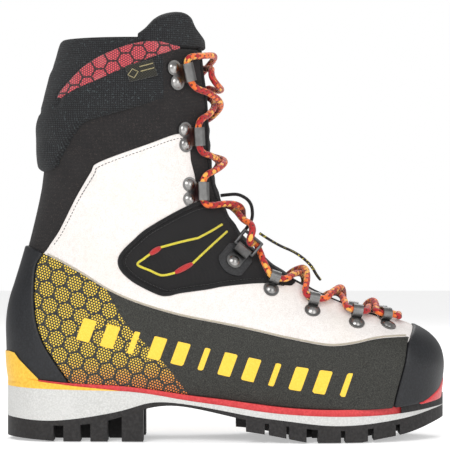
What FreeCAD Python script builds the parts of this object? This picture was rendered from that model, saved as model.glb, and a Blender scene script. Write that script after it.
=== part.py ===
"""Right mountaineering boot, laced, as an assembly of its separate pieces.

Millimetres. +X points to the toe, +Y to the inner (medial) side of the foot, +Z up.
The origin is on the ground under the middle of the boot.
The upper is a tube of tilted closed loops, from the feather line round the sole up to
the collar. Each layer of the boot is that tube at its own depth, cut by side outlines.
"""

import FreeCAD
import Part

import math
import os

V = FreeCAD.Vector
os.makedirs("parts", exist_ok=True)

# ---------------------------------------------------------------- driving sizes
sole_length = 312.0        # heel to toe of the outsole
ball_width = 105.0         # outsole across the ball of the foot
shaft_height = 302.0       # ground to the top of the tongue

leather_wall = 2.6         # outer leather or fabric layer
stiffener_wall = 1.5       # heel counter and toe puff, inside the leather
liner_wall = 4.5           # insulated waterproof lining
rand_wall = 2.0            # rubber rand glued outside the leather
collar_wall = 6.5          # padded band outside the cuff
tongue_wall = 6.0          # padded tongue
board_wall = 2.5           # insole board
footbed_wall = 4.0         # removable footbed
layer_gap = 0.3            # air between neighbouring layers
throat_half = 16.0         # half the opening between the two facings
tongue_half = 24.0         # half the tongue's width

flex_low_front = 13.0      # degrees above the horizon: lower edge of the front flex wedge
flex_high_front = 32.0     # its upper edge
flex_low_back = 173.0      # the same for the wedge over the heel
flex_high_back = 154.0
flex_hub = 12.0            # radius of the flex zone round the ankle pivot

lug_depth_in = 20.0        # how far the edge lugs reach in from the outsole edge
board_inset = 1.0          # clearance round the insole board and the footbed
welt_inset = 2.0           # how far the welt strips stand in from the outsole edge

lace_diameter = 4.6
plate_wall = 1.2           # sheet metal of the lace hardware
rivet_shank = 1.6          # radius
rivet_head = 3.9           # radius of the domed head
rivet_dome = 1.7           # height of the domed head
fit_clearance = 0.1        # rivet and pin holes over their shanks
lace_play = 1.0            # room between the lace and the metal round it
ring_wire = 1.1            # radius of the ankle ring's wire
ring_inside = 13.0         # inside width of the ankle ring
ring_reach = 11.0          # hinge bar to far bar of the ankle ring

# ---------------------------------------------------------------- grading
# The outlines below are the pattern of one size. They are graded by these ratios.
PATTERN_LENGTH = 312.0
PATTERN_WIDTH = 105.0
PATTERN_HEIGHT = 302.0
grade_x = sole_length / PATTERN_LENGTH
grade_y = ball_width / PATTERN_WIDTH
grade_z = shaft_height / PATTERN_HEIGHT
FAR = 400.0                # reach of a cutting prism, beyond every piece

# Loops of the leather layer, from the feather line to above the collar:
# back x, z; front x, z; half widths at heel, waist and ball, outer side then inner side;
# shift of the toe to the inner side.
LOOPS = [
    (-151, 30, 149.0, 10, 34.0, 38.0, 49.0, 34.0, 31.0, 46.5, 9),
    (-154, 50, 153.0, 38, 35.0, 39.0, 50.0, 35.0, 33.0, 47.5, 9),
    (-155, 70, 154.0, 56, 35.0, 39.0, 50.0, 35.0, 34.0, 46.5, 8),
    (-155, 85, 148.5, 69, 34.5, 39.0, 46.0, 34.5, 35.0, 43.5, 6),
    (-153, 98, 134.0, 79, 34.0, 39.0, 39.5, 34.0, 36.0, 38.0, 3),
    (-149, 111, 106.0, 89, 32.5, 39.5, 33.5, 32.5, 37.0, 32.5, 0),
    (-145, 124, 72.0, 104, 31.0, 40.0, 31.5, 31.0, 38.5, 31.0, 0),
    (-141, 138, 43.0, 121, 29.5, 40.5, 30.5, 29.5, 39.5, 30.5, 0),
    (-137, 154, 19.0, 141, 29.0, 41.0, 31.0, 29.0, 40.0, 31.0, 0),
    (-133, 172, 1.0, 167, 30.0, 42.0, 32.5, 30.0, 41.0, 32.5, 0),
    (-130, 192, -7.0, 194, 31.0, 43.0, 34.0, 31.0, 42.0, 34.0, 0),
    (-127, 214, -9.0, 220, 32.0, 44.0, 35.0, 32.0, 43.0, 35.0, 0),
    (-124, 238, -11.0, 244, 33.0, 45.0, 36.0, 33.0, 44.0, 36.0, 0),
    (-120, 262, -14.0, 266, 33.5, 46.0, 36.5, 33.5, 45.0, 36.5, 0),
    (-116, 285, -16.0, 287, 34.0, 46.0, 37.0, 34.0, 45.0, 37.0, 0),
    (-114, 309, -17.0, 310, 34.0, 46.0, 37.0, 34.0, 45.0, 37.0, 0),
]
WIDTH_AT = (0.15, 0.5, 0.8)    # where along a loop its half widths are given
BACK_ROUND = 2.6               # superellipse powers of a loop's two ends
FRONT_ROUND = 2.15
LOOP_STEP = 0.5                # loops lofted per row of the table
LOOP_POINTS = 28


def graded(row):
    """A row of LOOPS at the size being built."""
    widths = [w * grade_y for w in row[4:11]]
    return [row[0] * grade_x, row[1] * grade_z, row[2] * grade_x, row[3] * grade_z] + widths


ROWS = [graded(row) for row in LOOPS]


def loop_row(v):
    """The loop at height v, counted in rows, on a smooth curve through the rows."""
    i = min(int(v), len(ROWS) - 2)
    t = v - i
    before, low, high, after = (ROWS[min(max(k, 0), len(ROWS) - 1)] for k in (i - 1, i, i + 1, i + 2))
    made = []
    for a, b, c, d in zip(before, low, high, after):
        bend = (2 * a - 5 * b + 4 * c - d) * t + (3 * b - a - 3 * c + d) * t * t
        made.append(b + 0.5 * t * ((c - a) + bend))
    return made


def end_round(turn):
    """How far the loop has closed towards its ends, 1 at its widest."""
    power = BACK_ROUND if turn > 0 else FRONT_ROUND
    return max(0.0, 1 - abs(turn) ** power) ** (1 / power)


def half_width(widths, q):
    """Half width at share q of the loop, back to front, by its three given widths."""
    at = WIDTH_AT
    total = 0.0
    for i, w in enumerate(widths):
        term = w / end_round(1 - 2 * at[i])
        for j in range(3):
            if j != i:
                term *= (q - at[j]) / (at[i] - at[j])
        total += term
    return total * end_round(1 - 2 * q)


def skin(v, angle):
    """The leather surface at loop v. Angle 0 is the heel, 90 degrees the outer side."""
    row = loop_row(v)
    q = (1 - math.cos(angle)) / 2
    side = -1 if math.sin(angle) >= 0 else 1
    widths = row[4:7] if side < 0 else row[7:10]
    centre = row[10] * max(0.0, 2 * q - 1) ** 2
    x = row[0] + (row[2] - row[0]) * q
    z = row[1] + (row[3] - row[1]) * q
    return V(x, centre + side * half_width(widths, q), z)


def skin_normal(v, angle):
    """Outward unit normal of the leather surface."""
    step = 0.02
    up = skin(min(v + step, len(ROWS) - 1), angle) - skin(max(v - step, 0), angle)
    along = skin(v, angle + step) - skin(v, angle - step)
    normal = along.cross(up)
    return normal.normalize()


def offset_loop(v, depth):
    """Points of loop v, moved in its own plane so that the surface moves by depth."""
    row = loop_row(v)
    across = V(row[1] - row[3], 0, row[2] - row[0]).normalize()
    points = []
    for k in range(LOOP_POINTS):
        angle = 2 * math.pi * (k + 0.5) / LOOP_POINTS
        normal = skin_normal(v, angle)
        flat = normal - across * normal.dot(across)
        tilt = max(flat.Length, 0.35)
        points.append(skin(v, angle) + flat.normalize() * (depth(v) / tilt))
    return points


def layer(thickness):
    """The solid inside the leather surface moved outward by a number, or by a function of v."""
    depth = thickness if callable(thickness) else (lambda v: thickness)
    wires = []
    count = int((len(ROWS) - 1) / LOOP_STEP) + 1
    for k in range(count):
        curve = Part.BSplineCurve()
        turns = [float(i) for i in range(LOOP_POINTS + 1)]
        curve.interpolate(Points=offset_loop(k * LOOP_STEP, depth), Parameters=turns, PeriodicFlag=True)
        wires.append(Part.Wire([curve.toShape()]))
    return Part.makeLoft(wires, True, False)


def grade(points):
    """Side outline points (x, z) at the size being built."""
    return [(x * grade_x, z * grade_z) for x, z in points]


# ---------------------------------------------------------------- side outlines
# All are (x, z) of the pattern size, seen from the outer side.
FEATHER = [(-175, 45), (-134, 43), (-110, 40.6), (-78, 39), (-48, 35.6), (-23, 32), (-1, 29.5),
           (29, 25.6), (60, 23), (90, 22.8), (118, 24.2), (140, 27.5), (175, 34)]
MIDSOLE_TOP = [(-175, 39), (-118, 36.3), (-88, 35.6), (-73, 35.2), (-48, 32.4), (-28, 29), (-1, 25.4),
               (24, 21.6), (54, 18.9), (90, 18), (123, 19.5), (145, 22), (175, 26)]
MIDSOLE_FOOT = [(-175, 17.5), (-146, 15.5), (-128, 14.4), (-108, 15.5), (-88, 18.5), (-68, 23),
                (-54, 27), (-38, 27.4), (-23, 25.6), (-1, 21.8), (20, 18), (45, 14.8), (70, 12),
                (90, 12), (115, 14.6), (133, 17.6), (147, 21), (175, 25.4)]
HEEL_WELT_TOP = [(-175, 47), (-144, 44.6), (-133, 42), (-120, 40.3), (-108, 38.8), (-90, 37.0), (-72, 35.0)]
OUTSOLE_FOOT = [(-175, 9), (-156, 11), (-120, 11), (-88, 13.5), (-68, 19), (-54, 23.4), (-38, 25.2),
                (-23, 23.6), (-1, 19), (20, 14.6), (45, 11.2), (70, 8.6), (90, 8.6), (115, 11),
                (133, 14), (147, 17.6), (175, 22)]
TREAD = [(-175, 3.5), (-156, 2.4), (-122, 0.2), (-108, -0.8), (-85, -1.4), (-60, -0.6), (-30, 6),
         (-1, 8.6), (28, 5.6), (46, 2.2), (62, -0.5), (76, -1.0), (90, -0.6), (104, 1.6), (128, 5.6),
         (147, 11.5), (157, 15), (175, 19)]
TOE_WELT_TOP = [(118, 23.6), (135, 26.6), (149, 30), (175, 33)]
RAND_LINE = [(-175, 150), (-127, 131), (-102, 118), (-84, 106.9), (-64, 97.9), (-34, 88.8), (-1, 81.9),
             (41, 72.8), (64, 68.3), (76, 67.2), (90, 68.7), (106, 71.8), (128, 72.7), (175, 73)]
TOE_CAP_LINE = [(131, 95), (132, 81), (129, 72.7), (127, 66), (125, 54), (118, 28), (116, 5)]
HEEL_RAND_LINE = [(-128, 150), (-129, 131), (-134, 118), (-134, 91), (-129, 71), (-118, 53), (-110, 41), (-100, 25)]
QUARTER = [(-130, 122), (-126, 134), (-117, 148), (-105, 171), (-94.5, 189), (-88, 195.5), (-54, 208),
           (-35, 215), (-26, 201), (-22.5, 183), (-28.7, 163.5), (-53, 148.8), (-64, 140), (-80, 120)]
COLLAR = [(-175, 191), (-125, 191), (-112, 204), (-100, 222), (-80, 230), (-59, 236), (-36, 244), (-31, 276)]
COLLAR_FRONT = -43.5       # the pad stops behind the top hook
COLLAR_TOP = 283.0
FLAP_X = -62.0             # where the tongue's wings meet the collar
FLAP_Z = 276.0             # where the tongue's top folds
FLAP_TOP = [(-62, 285.5), (-55, 290), (-47.6, 296.3), (-39, 300.3), (-29, 302), (-23, 299), (-19.6, 292), (-8, 287)]
CRESCENT = [(-114, 242), (-104, 255), (-94, 265), (-80, 272), (-67, 276.6), (-54, 280), (-44, 280.5),
            (-30, 277), (-36, 274.2), (-54, 268), (-73, 259.5), (-94, 250)]
THROAT = [(114, 55), (114, 400), (-62, 400), (-62, 240), (-48, 150), (0, 108), (60, 78)]
HEEL_FIN = [(-175, 41), (-175, 60), (-154, 62.5), (-149.5, 61.5), (-146, 57), (-132, 43.4), (-132, 41)]
TOE_INSERT = [(175, 50), (155, 44), (149, 36), (140, 29), (133, 24), (175, 24)]
ANKLE_PIVOT = (-70, 125)


def spline_edge(points):
    curve = Part.BSplineCurve()
    curve.interpolate([V(x, 0, z) for x, z in points])
    return curve.toShape()


def line_edge(a, b):
    return Part.makeLine(V(a[0], 0, a[1]), V(b[0], 0, b[1]))


def extruded(edges, low=-FAR, high=FAR):
    """A prism along Y of the side outline made by the edges."""
    face = Part.Face(Part.Wire(edges))
    face.translate(V(0, low, 0))
    return face.extrude(V(0, high - low, 0))


def prism(points, low=-FAR, high=FAR):
    """A prism along Y of a straight-sided outline, given in built sizes."""
    closed = points + points[:1]
    return extruded([line_edge(a, b) for a, b in zip(closed, closed[1:])], low, high)


def smooth_prism(points, low=-FAR, high=FAR):
    """A prism along Y whose outline is one closed smooth curve."""
    curve = Part.BSplineCurve()
    curve.interpolate([V(x, 0, z) for x, z in points], PeriodicFlag=True)
    return extruded([curve.toShape()], low, high)


def above(points, lift=0.0):
    """Everything above a side curve that has been lifted."""
    run = [(x, z + lift) for x, z in points]
    start, end = run[0], run[-1]
    corners = [end, (end[0], FAR), (start[0], FAR), start]
    return extruded([spline_edge(run)] + [line_edge(a, b) for a, b in zip(corners, corners[1:])])


def between(low_curve, high_curve):
    """Everything between two side curves."""
    return above(low_curve).cut(above(high_curve))


def beside(points, reach):
    """Everything on one side of an upright side curve, out to x = reach."""
    start, end = points[0], points[-1]
    corners = [end, (reach, end[1]), (reach, start[1]), start]
    return extruded([spline_edge(points)] + [line_edge(a, b) for a, b in zip(corners, corners[1:])])


def half_space(side):
    """Everything on the outer (-1) or inner (+1) side of the boot's middle plane."""
    low, high = (-FAR, 0) if side < 0 else (0, FAR)
    return prism([(-FAR, -FAR), (FAR, -FAR), (FAR, FAR), (-FAR, FAR)], low, high)


feather = grade(FEATHER)
midsole_top = grade(MIDSOLE_TOP)
midsole_foot = grade(MIDSOLE_FOOT)
outsole_foot = grade(OUTSOLE_FOOT)
tread = grade(TREAD)
collar_top = COLLAR_TOP * grade_z
flap_x = FLAP_X * grade_x
flap_z = FLAP_Z * grade_z
pivot = (ANKLE_PIVOT[0] * grade_x, ANKLE_PIVOT[1] * grade_z)
SIDES = {"lateral": -1, "medial": 1}


def solids_of(shape, smallest=20.0):
    """The shape's solids without slivers, as one shape."""
    kept = [s for s in shape.Solids if s.Volume > smallest]
    if not kept:
        raise ValueError("a piece came out empty")
    return kept[0] if len(kept) == 1 else Part.makeCompound(kept)


def save(name, shape):
    made = solids_of(shape, 0.5)
    made.exportStep("parts/%s.step" % name)
    print("%-26s %2d solids  %9.1f mm3  valid %s" % (name, len(made.Solids), made.Volume, made.isValid()))


# ---------------------------------------------------------------- where the cuff moves
def ray(angle, start=0.0):
    """A point far along a ray from the ankle pivot, or at the given distance."""
    reach = start or FAR
    turn = math.radians(angle)
    return (pivot[0] + reach * math.cos(turn), pivot[1] + reach * math.sin(turn))


def hub(radius):
    return Part.makeCylinder(radius, 2 * FAR, V(pivot[0], -FAR, pivot[1]), V(0, 1, 0))


seam_turn = 0.2            # degrees of gap on each side of the flex wedges
cuff_region = prism([pivot, ray(flex_high_front), (FAR, FAR), (-FAR, FAR), ray(flex_high_back)]).cut(hub(flex_hub))
lower_region = prism([pivot, ray(flex_low_front), (FAR, -FAR), (-FAR, -FAR), ray(flex_low_back)]).cut(hub(flex_hub))
front_wedge = prism([pivot, ray(flex_low_front + seam_turn), ray(flex_high_front - seam_turn)])
front_wedge = front_wedge.fuse(hub(flex_hub - layer_gap))
back_wedge = prism([pivot, ray(flex_high_back + seam_turn), ray(flex_low_back - seam_turn)])
back_wedge = back_wedge.cut(hub(flex_hub))

# ---------------------------------------------------------------- layers
stiffener_depth = leather_wall + layer_gap
liner_depth = stiffener_depth + stiffener_wall + layer_gap
inside_depth = liner_depth + liner_wall
tongue_depth = leather_wall + layer_gap
skin_body = layer(0)
leather_inner = layer(-leather_wall)
stiffener_outer = layer(-stiffener_depth)
stiffener_inner = layer(-stiffener_depth - stiffener_wall)
liner_outer = layer(-liner_depth)
liner_inner = layer(-inside_depth)
tongue_outer = layer(-tongue_depth)
tongue_inner = layer(-tongue_depth - tongue_wall)
rand_outer = layer(rand_wall)


def collar_depth(v):
    """The collar's padding: full round the heel roll, thinner above it."""
    share = min(max((v - 12.2) / 1.6, 0.0), 1.0)
    return collar_wall * (1 - 0.62 * share * share * (3 - 2 * share))


collar_outer = layer(collar_depth)

above_feather = above(feather)
heel_fin = prism(grade(HEEL_FIN))
throat = prism(grade(THROAT), -throat_half, throat_half)
tongue_gap = prism(grade([(x + (4 if x > 100 else 0), z) for x, z in THROAT]),
                   -tongue_half - layer_gap, tongue_half + layer_gap)
tongue_span = prism(grade([(x + (3.5 if x > 100 else 0), z) for x, z in THROAT]), -tongue_half, tongue_half)
below_collar = prism([(-FAR, -FAR), (FAR, -FAR), (FAR, flap_z - layer_gap), (flap_x, flap_z - layer_gap),
                      (flap_x, collar_top), (-FAR, collar_top)])


def leather_pieces():
    """The outer leather and fabric, in the pieces that the seams and the flex zone make."""
    shell = skin_body.cut(leather_inner).common(above_feather).common(below_collar).cut(throat)
    quarter = smooth_prism(grade(QUARTER))
    lower = shell.common(lower_region)
    cuff = shell.common(cuff_region)
    front_flex = shell.common(front_wedge)
    made = {"achilles_flex": shell.common(back_wedge)}
    for name, side in SIDES.items():
        half = half_space(side)
        made["leather_upper_" + name] = lower.common(half)
        cuff_half = cuff.common(half)
        made["quarter_top_" + name] = cuff_half.common(quarter)
        made["cuff_fabric_" + name] = cuff_half.cut(quarter)
        made["flex_panel_" + name] = front_flex.common(half)
    return made


def lower_pieces():
    """Rands, stiffeners, board, footbed and the lower lining."""
    made = {}
    rand = rand_outer.cut(skin_body).common(above_feather).cut(heel_fin)
    toe_side = beside(grade(TOE_CAP_LINE), FAR)
    heel_side = beside(grade(HEEL_RAND_LINE), -FAR)
    under_line = prism([(-FAR, -FAR), (FAR, -FAR), (FAR, FAR), (-FAR, FAR)]).cut(above(grade(RAND_LINE)))
    made["toe_cap_rand"] = rand.common(toe_side)
    below = rand.cut(toe_side).common(under_line).cut(throat)
    made["heel_rand"] = below.common(heel_side)
    middle = below.cut(heel_side)
    for name, side in SIDES.items():
        made["side_rand_" + name] = middle.common(half_space(side))
    above_board = above(feather, board_wall)
    stiffener = stiffener_outer.cut(stiffener_inner).common(above_board)
    puff_edge = 119 * grade_x
    made["toe_puff"] = stiffener.common(prism([(puff_edge, -FAR), (FAR, -FAR), (FAR, FAR), (puff_edge, FAR)]))
    counter = prism([(-96 * grade_x, -FAR), (-96 * grade_x, 60 * grade_z), (-118 * grade_x, 112 * grade_z),
                     (-FAR, 120 * grade_z), (-FAR, -FAR)])
    made["heel_counter"] = stiffener.common(counter)
    board_body = layer(-leather_wall - board_inset)
    made["insole_board"] = board_body.common(above_feather).cut(above_board)
    sock_floor = 1.5
    sock = liner_outer.common(above_board).cut(liner_inner.common(above(feather, board_wall + sock_floor)))
    sock = sock.cut(tongue_gap).common(below_collar)
    made["liner_lower"] = sock.common(lower_region)
    flexing = sock.common(front_wedge)
    made["liner_flex"] = flexing.fuse(sock.common(back_wedge))
    made["liner_cuff"] = sock.common(cuff_region)
    bed_body = layer(-inside_depth - board_inset)
    bed_floor = board_wall + sock_floor + layer_gap
    made["footbed"] = bed_body.common(above(feather, bed_floor)).cut(above(feather, bed_floor + footbed_wall))
    return made


def tongue_pieces():
    """The padded tongue: its foot, its flexing part, its shaft and its folding top."""
    tongue = tongue_outer.cut(tongue_inner).common(tongue_span).common(above(feather, board_wall + 8))
    body = tongue.common(prism([(-FAR, -FAR), (FAR, -FAR), (FAR, flap_z - layer_gap), (-FAR, flap_z - layer_gap)]))
    made = {"tongue_lower": body.common(lower_region)}
    made["tongue_flex"] = body.common(front_wedge)
    made["tongue_cuff"] = body.common(cuff_region)
    top_line = grade(FLAP_TOP)
    start, end = top_line[0], top_line[-1]
    corners = [end, (end[0] + 20, end[1]), (end[0] + 20, flap_z + layer_gap),
               (flap_x + layer_gap, flap_z + layer_gap), (flap_x + layer_gap, start[1]), start]
    edges = [spline_edge(top_line)] + [line_edge(a, b) for a, b in zip(corners, corners[1:])]
    made["tongue_top"] = skin_body.cut(tongue_inner).common(extruded(edges))
    return made


def collar_pieces():
    """The padded collar, its printed insert, and the small tag on the outer side."""
    crescent = smooth_prism(grade(CRESCENT))
    front = COLLAR_FRONT * grade_x
    region = above(grade(COLLAR)).common(prism([(-FAR, -FAR), (front, -FAR), (front, FAR), (-FAR, FAR)]))
    pad = collar_outer.cut(skin_body).common(region).common(below_collar)
    made = {"collar_pad": pad.cut(crescent), "collar_inserts": pad.common(crescent)}
    corners = grade([(-70.5, 262.5), (-51.5, 267.5), (-48, 256), (-67, 251)])
    tag_body = layer(lambda v: collar_depth(v) + 1.0)
    made["collar_tag"] = tag_body.cut(collar_outer).common(prism(corners)).common(half_space(-1))
    return made


# ---------------------------------------------------------------- sole
SOLE_PLAN = [(-156, 0), (-150, -20), (-136, -33), (-110, -38.5), (-75, -40), (-40, -42.5), (0, -47.5),
             (40, -52), (70, -52.3), (100, -47), (126, -34), (146, -13), (156, 9), (148, 30), (128, 42.5),
             (100, 50.5), (68, 52.5), (32, 48), (0, 41.5), (-40, 36.5), (-80, 36.5), (-110, 37.5),
             (-136, 31.5), (-150, 18)]
SIDE_LUGS = [(-156, -121), (-114, -102), (-95, -83), (-73, -58), (14, 27), (30, 42), (44, 56), (64, 80),
             (83, 99), (103, 119), (122, 157)]
HEEL_BREAST = -52          # the heel lugs' front face; the arch is bare up to the first forefoot lug


def plan_prism(inset):
    """The sole's outline seen from above, moved inward, as a tall prism."""
    plan = [V(x * grade_x, y * grade_y, -50) for x, y in SOLE_PLAN]
    moved = []
    for before, here, after in zip(plan[-1:] + plan[:-1], plan, plan[1:] + plan[:1]):
        along = (after - before).normalize()
        moved.append(here + V(-along.y, along.x, 0) * inset)
    curve = Part.BSplineCurve()
    curve.interpolate(moved, PeriodicFlag=True)
    return Part.Face(Part.Wire([curve.toShape()])).extrude(V(0, 0, 200))


def block(x0, x1, y0, y1, z0, z1):
    return Part.makeBox(x1 - x0, y1 - y0, z1 - z0, V(x0, y0, z0))


def centre_lugs():
    """The chevron lugs in the middle of the heel and the forefoot, as tall blocks."""
    made = []
    for x in (-132, -110, -88, -68, 22, 40, 58, 76, 94, 112, 130):
        width = 9.0 if x < 0 else 13.0 - max(0.0, (x - 94) * 0.12)
        shift = 0.0 if x < 0 else 0.4 + max(0.0, (x - 60) * 0.08)
        for side in (-1, 1):
            inner, outer = shift + side * 1.6, shift + side * width
            points = [V((x + 5) * grade_x, inner * grade_y, -20), V((x - 6) * grade_x, outer * grade_y, -20),
                      V((x - 15) * grade_x, outer * grade_y, -20), V((x - 6) * grade_x, inner * grade_y, -20)]
            face = Part.Face(Part.makePolygon(points + points[:1]))
            made.append(face.extrude(V(0, 0, 80)))
    return made


def sole_pieces():
    """Outsole with lugs, midsole, heel wedge, welt strip, toe welt and toe insert."""
    plan = plan_prism(0)
    inset_plan = plan_prism(welt_inset)
    under_plate = block(-FAR, FAR, -FAR, FAR, -60, 60).cut(above(outsole_foot))
    outsole = plan.common(above(tread)).cut(above(midsole_foot)).common(block(-FAR, FAR, -FAR, FAR, 0, 60))
    gaps = []
    for left, right in zip(SIDE_LUGS, SIDE_LUGS[1:]):
        gaps.append(block(left[1] * grade_x, right[0] * grade_x, -FAR, FAR, -50, 60))
    middle = plan_prism(lug_depth_in).common(block(-139 * grade_x, 139 * grade_x, -FAR, FAR, -50, 60))
    grooves = middle.fuse(gaps).common(under_plate).cut(Part.makeCompound(centre_lugs()))
    outsole = outsole.cut(grooves)
    made = {"outsole": outsole}
    made["midsole"] = plan.common(above(midsole_foot)).cut(above(midsole_top))
    rear = block(-FAR, -74 * grade_x, -FAR, FAR, -50, 150)
    toe_region = block(123 * grade_x, FAR, -FAR, FAR, -50, 150)
    wedge_top = above(grade(HEEL_WELT_TOP))
    under_feather = above(midsole_top).cut(above_feather)
    wedge = plan.common(under_feather).common(rear).cut(wedge_top)
    fin = layer(rand_wall + 0.9).cut(skin_body).common(heel_fin)
    rear_notch = Part.makeCylinder(2.6, 48, V(-158.4 * grade_x, -24, 42.5 * grade_z), V(0, 1, 0))
    made["heel_welt"] = wedge.fuse(fin).cut(rear_notch)
    strip = inset_plan.common(under_feather).cut(toe_region)
    made["welt_strip"] = strip.cut(rear).fuse(strip.common(rear).common(wedge_top)).cut(fin)
    toe_slab = plan.common(above(midsole_top)).cut(above(grade(TOE_WELT_TOP))).common(toe_region)
    made["toe_welt"] = toe_slab.cut(layer(rand_wall + 0.2).common(above_feather))
    return made


# ---------------------------------------------------------------- hardware
def spot(side, x, z):
    """The leather surface's (v, angle) where it shows at x, z in the side view."""
    low, high = 0.0, len(ROWS) - 1.0
    for _ in range(40):
        v = (low + high) / 2
        row = loop_row(v)
        share = (x - row[0]) / (row[2] - row[0])
        if row[1] + (row[3] - row[1]) * share < z:
            low = v
        else:
            high = v
    start, end = 0.0, math.pi
    for _ in range(40):
        angle = (start + end) / 2
        if skin(v, angle).x < x:
            start = angle
        else:
            end = angle
    return v, (angle if side < 0 else 2 * math.pi - angle)


def over(side, x, z, lift=0.0):
    """A point of built size above the leather surface at side-view place x, z."""
    v, angle = spot(side, x * grade_x, z * grade_z)
    return skin(v, angle) + skin_normal(v, angle) * lift


def frame_at(side, x, z, dx, dz):
    """Placement on the leather: X to the throat, Y along the edge, Z outward."""
    v, angle = spot(side, x * grade_x, z * grade_z)
    normal = skin_normal(v, angle)
    forward = V(dx, 0, dz)
    forward = (forward - normal * forward.dot(normal)).normalize()
    along = normal.cross(forward)
    turn = FreeCAD.Rotation(forward, along, normal, "ZXY")
    return FreeCAD.Placement(skin(v, angle), turn)


def rivet(place, x, y, base):
    """A domed rivet standing on a plate at height base, its shank through the leather."""
    shank = Part.makeCylinder(rivet_shank, base + leather_wall - 0.2, V(x, y, -leather_wall + 0.2))
    ball = (rivet_head ** 2 + rivet_dome ** 2) / (2 * rivet_dome)
    dome = Part.makeSphere(ball, V(x, y, base + rivet_dome - ball)).common(
        Part.makeBox(12, 12, 6, V(x - 6, y - 6, base)))
    made = shank.fuse(dome)
    made.Placement = place
    return made


def rivet_hole(place, x, y, depth, height):
    made = Part.makeCylinder(rivet_shank + fit_clearance, depth + height, V(x, y, -depth))
    made.Placement = place
    return made


stand = 0.5                # the flat plates stand this far off the curved leather
lace_radius = lace_diameter / 2
bend_in = lace_radius + lace_play
bend_at = 8.4              # middle of the lace channel, ahead of the rivets
hook_length = 13.0
loop_length = 7.0
LIFT = stand + plate_wall + bend_in


def hook_body():
    """A speed hook: a plate with two rivet lobes, bent up in front and back over the lace."""
    low, top = stand, stand + plate_wall
    span = hook_length
    outer = Part.makeCylinder(bend_in + plate_wall, span, V(bend_at, -span / 2, LIFT), V(0, 1, 0))
    inner = Part.makeCylinder(bend_in, span, V(bend_at, -span / 2, LIFT), V(0, 1, 0))
    half = Part.makeBox(12, span, 20, V(bend_at, -span / 2, -5))
    lip = Part.makeBox(5.4, span, plate_wall, V(bend_at - 5.4, -span / 2, LIFT + bend_in))
    base = Part.makeBox(bend_at + 2, span, plate_wall, V(-2, -span / 2, low))
    made = base.fuse([outer.cut(inner).common(half), lip])
    for y in (-5.2, 5.2):
        made = made.fuse(Part.makeCylinder(5.4, plate_wall, V(0, y, low)))
    return made.common(Part.makeCylinder(12.5, 40, V(bend_at - 7.0, 0, -10)))


def loop_body():
    """A lower lace loop: a teardrop plate and a short closed tube for the lace."""
    plate = Part.makeCylinder(5.6, plate_wall, V(0, 0, stand))
    neck = Part.makeBox(bend_at, loop_length, plate_wall, V(0, -loop_length / 2, stand))
    tube = Part.makeCylinder(bend_in + plate_wall, loop_length, V(bend_at, -loop_length / 2, LIFT), V(0, 1, 0))
    bore = Part.makeCylinder(bend_in, loop_length + 2, V(bend_at, -loop_length / 2 - 1, LIFT), V(0, 1, 0))
    return plate.fuse([neck, tube]).cut(bore)


# name, x, z, and the direction to the throat (dx, dz)
HOOKS = [(1, -35.8, 256.6, 1, 0.22), (2, -29.1, 213.3, 1, 0.05), (3, -26.0, 174.7, 1, 0.03)]
LOOPS_LOW = [(1, 31.4, 106.0, 0.35, 1), (2, 60.5, 91.0, 0.2, 1), (3, 91.5, 82.5, 0.15, 1), (4, 114.0, 80.5, 0.1, 1)]
LOCK = (4.8, 125.4, 0.64, 0.77)
lock_pad = 1.5             # rubber patch under the ankle lock
strap_half = 5.6
bar_at = 11.5              # hinge bar of the ring, ahead of the rivet
ring_rise = 4.2            # how far the far bar stands above the hinge bar
bar_height = stand + lock_pad + plate_wall + ring_wire + fit_clearance


def lock_pieces(side):
    """The ankle lock: rubber patch, folded metal strap, and the ring hinged in its fold."""
    place = frame_at(side, *LOCK)
    patch = Part.makeCylinder(12.5, lock_pad, V(2, 0, stand))
    patch = patch.common(Part.makeBox(30, 21, 8, V(-11, -10.5, 0)))
    eye = ring_wire + fit_clearance
    low = stand + lock_pad
    base = Part.makeBox(bar_at, 2 * strap_half, plate_wall, V(0, -strap_half, low))
    round_end = Part.makeCylinder(strap_half, plate_wall, V(0, 0, low))
    knuckle = Part.makeCylinder(eye + plate_wall, 2 * strap_half, V(bar_at, -strap_half, bar_height), V(0, 1, 0))
    flap = Part.makeBox(bar_at - 5.5, 2 * strap_half, plate_wall, V(5.5, -strap_half, bar_height + eye))
    bore = Part.makeCylinder(eye, 40, V(bar_at, -20, bar_height), V(0, 1, 0))
    gap = Part.makeBox(bar_at - 5.5, 2 * strap_half + 2, 2 * eye, V(5.5, -strap_half - 1, bar_height - eye))
    strap = base.fuse([round_end, knuckle, flap]).cut(gap).cut(bore)
    half = ring_inside / 2 + ring_wire
    far = V(math.sqrt(ring_reach ** 2 - ring_rise ** 2), 0, ring_rise)
    start = V(bar_at, 0, bar_height)
    across = V(0, half, 0)
    corners = [start - across, start + across, start + far + across, start + far - across]
    ring = None
    for a, b in zip(corners, corners[1:] + corners[:1]):
        bar = Part.makeCylinder(ring_wire, (b - a).Length, a, b - a).fuse(Part.makeSphere(ring_wire, a))
        ring = bar if ring is None else ring.fuse(bar)
    for piece in (patch, strap, ring):
        piece.Placement = place
    return place, patch, strap, ring.removeSplitter()


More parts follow.
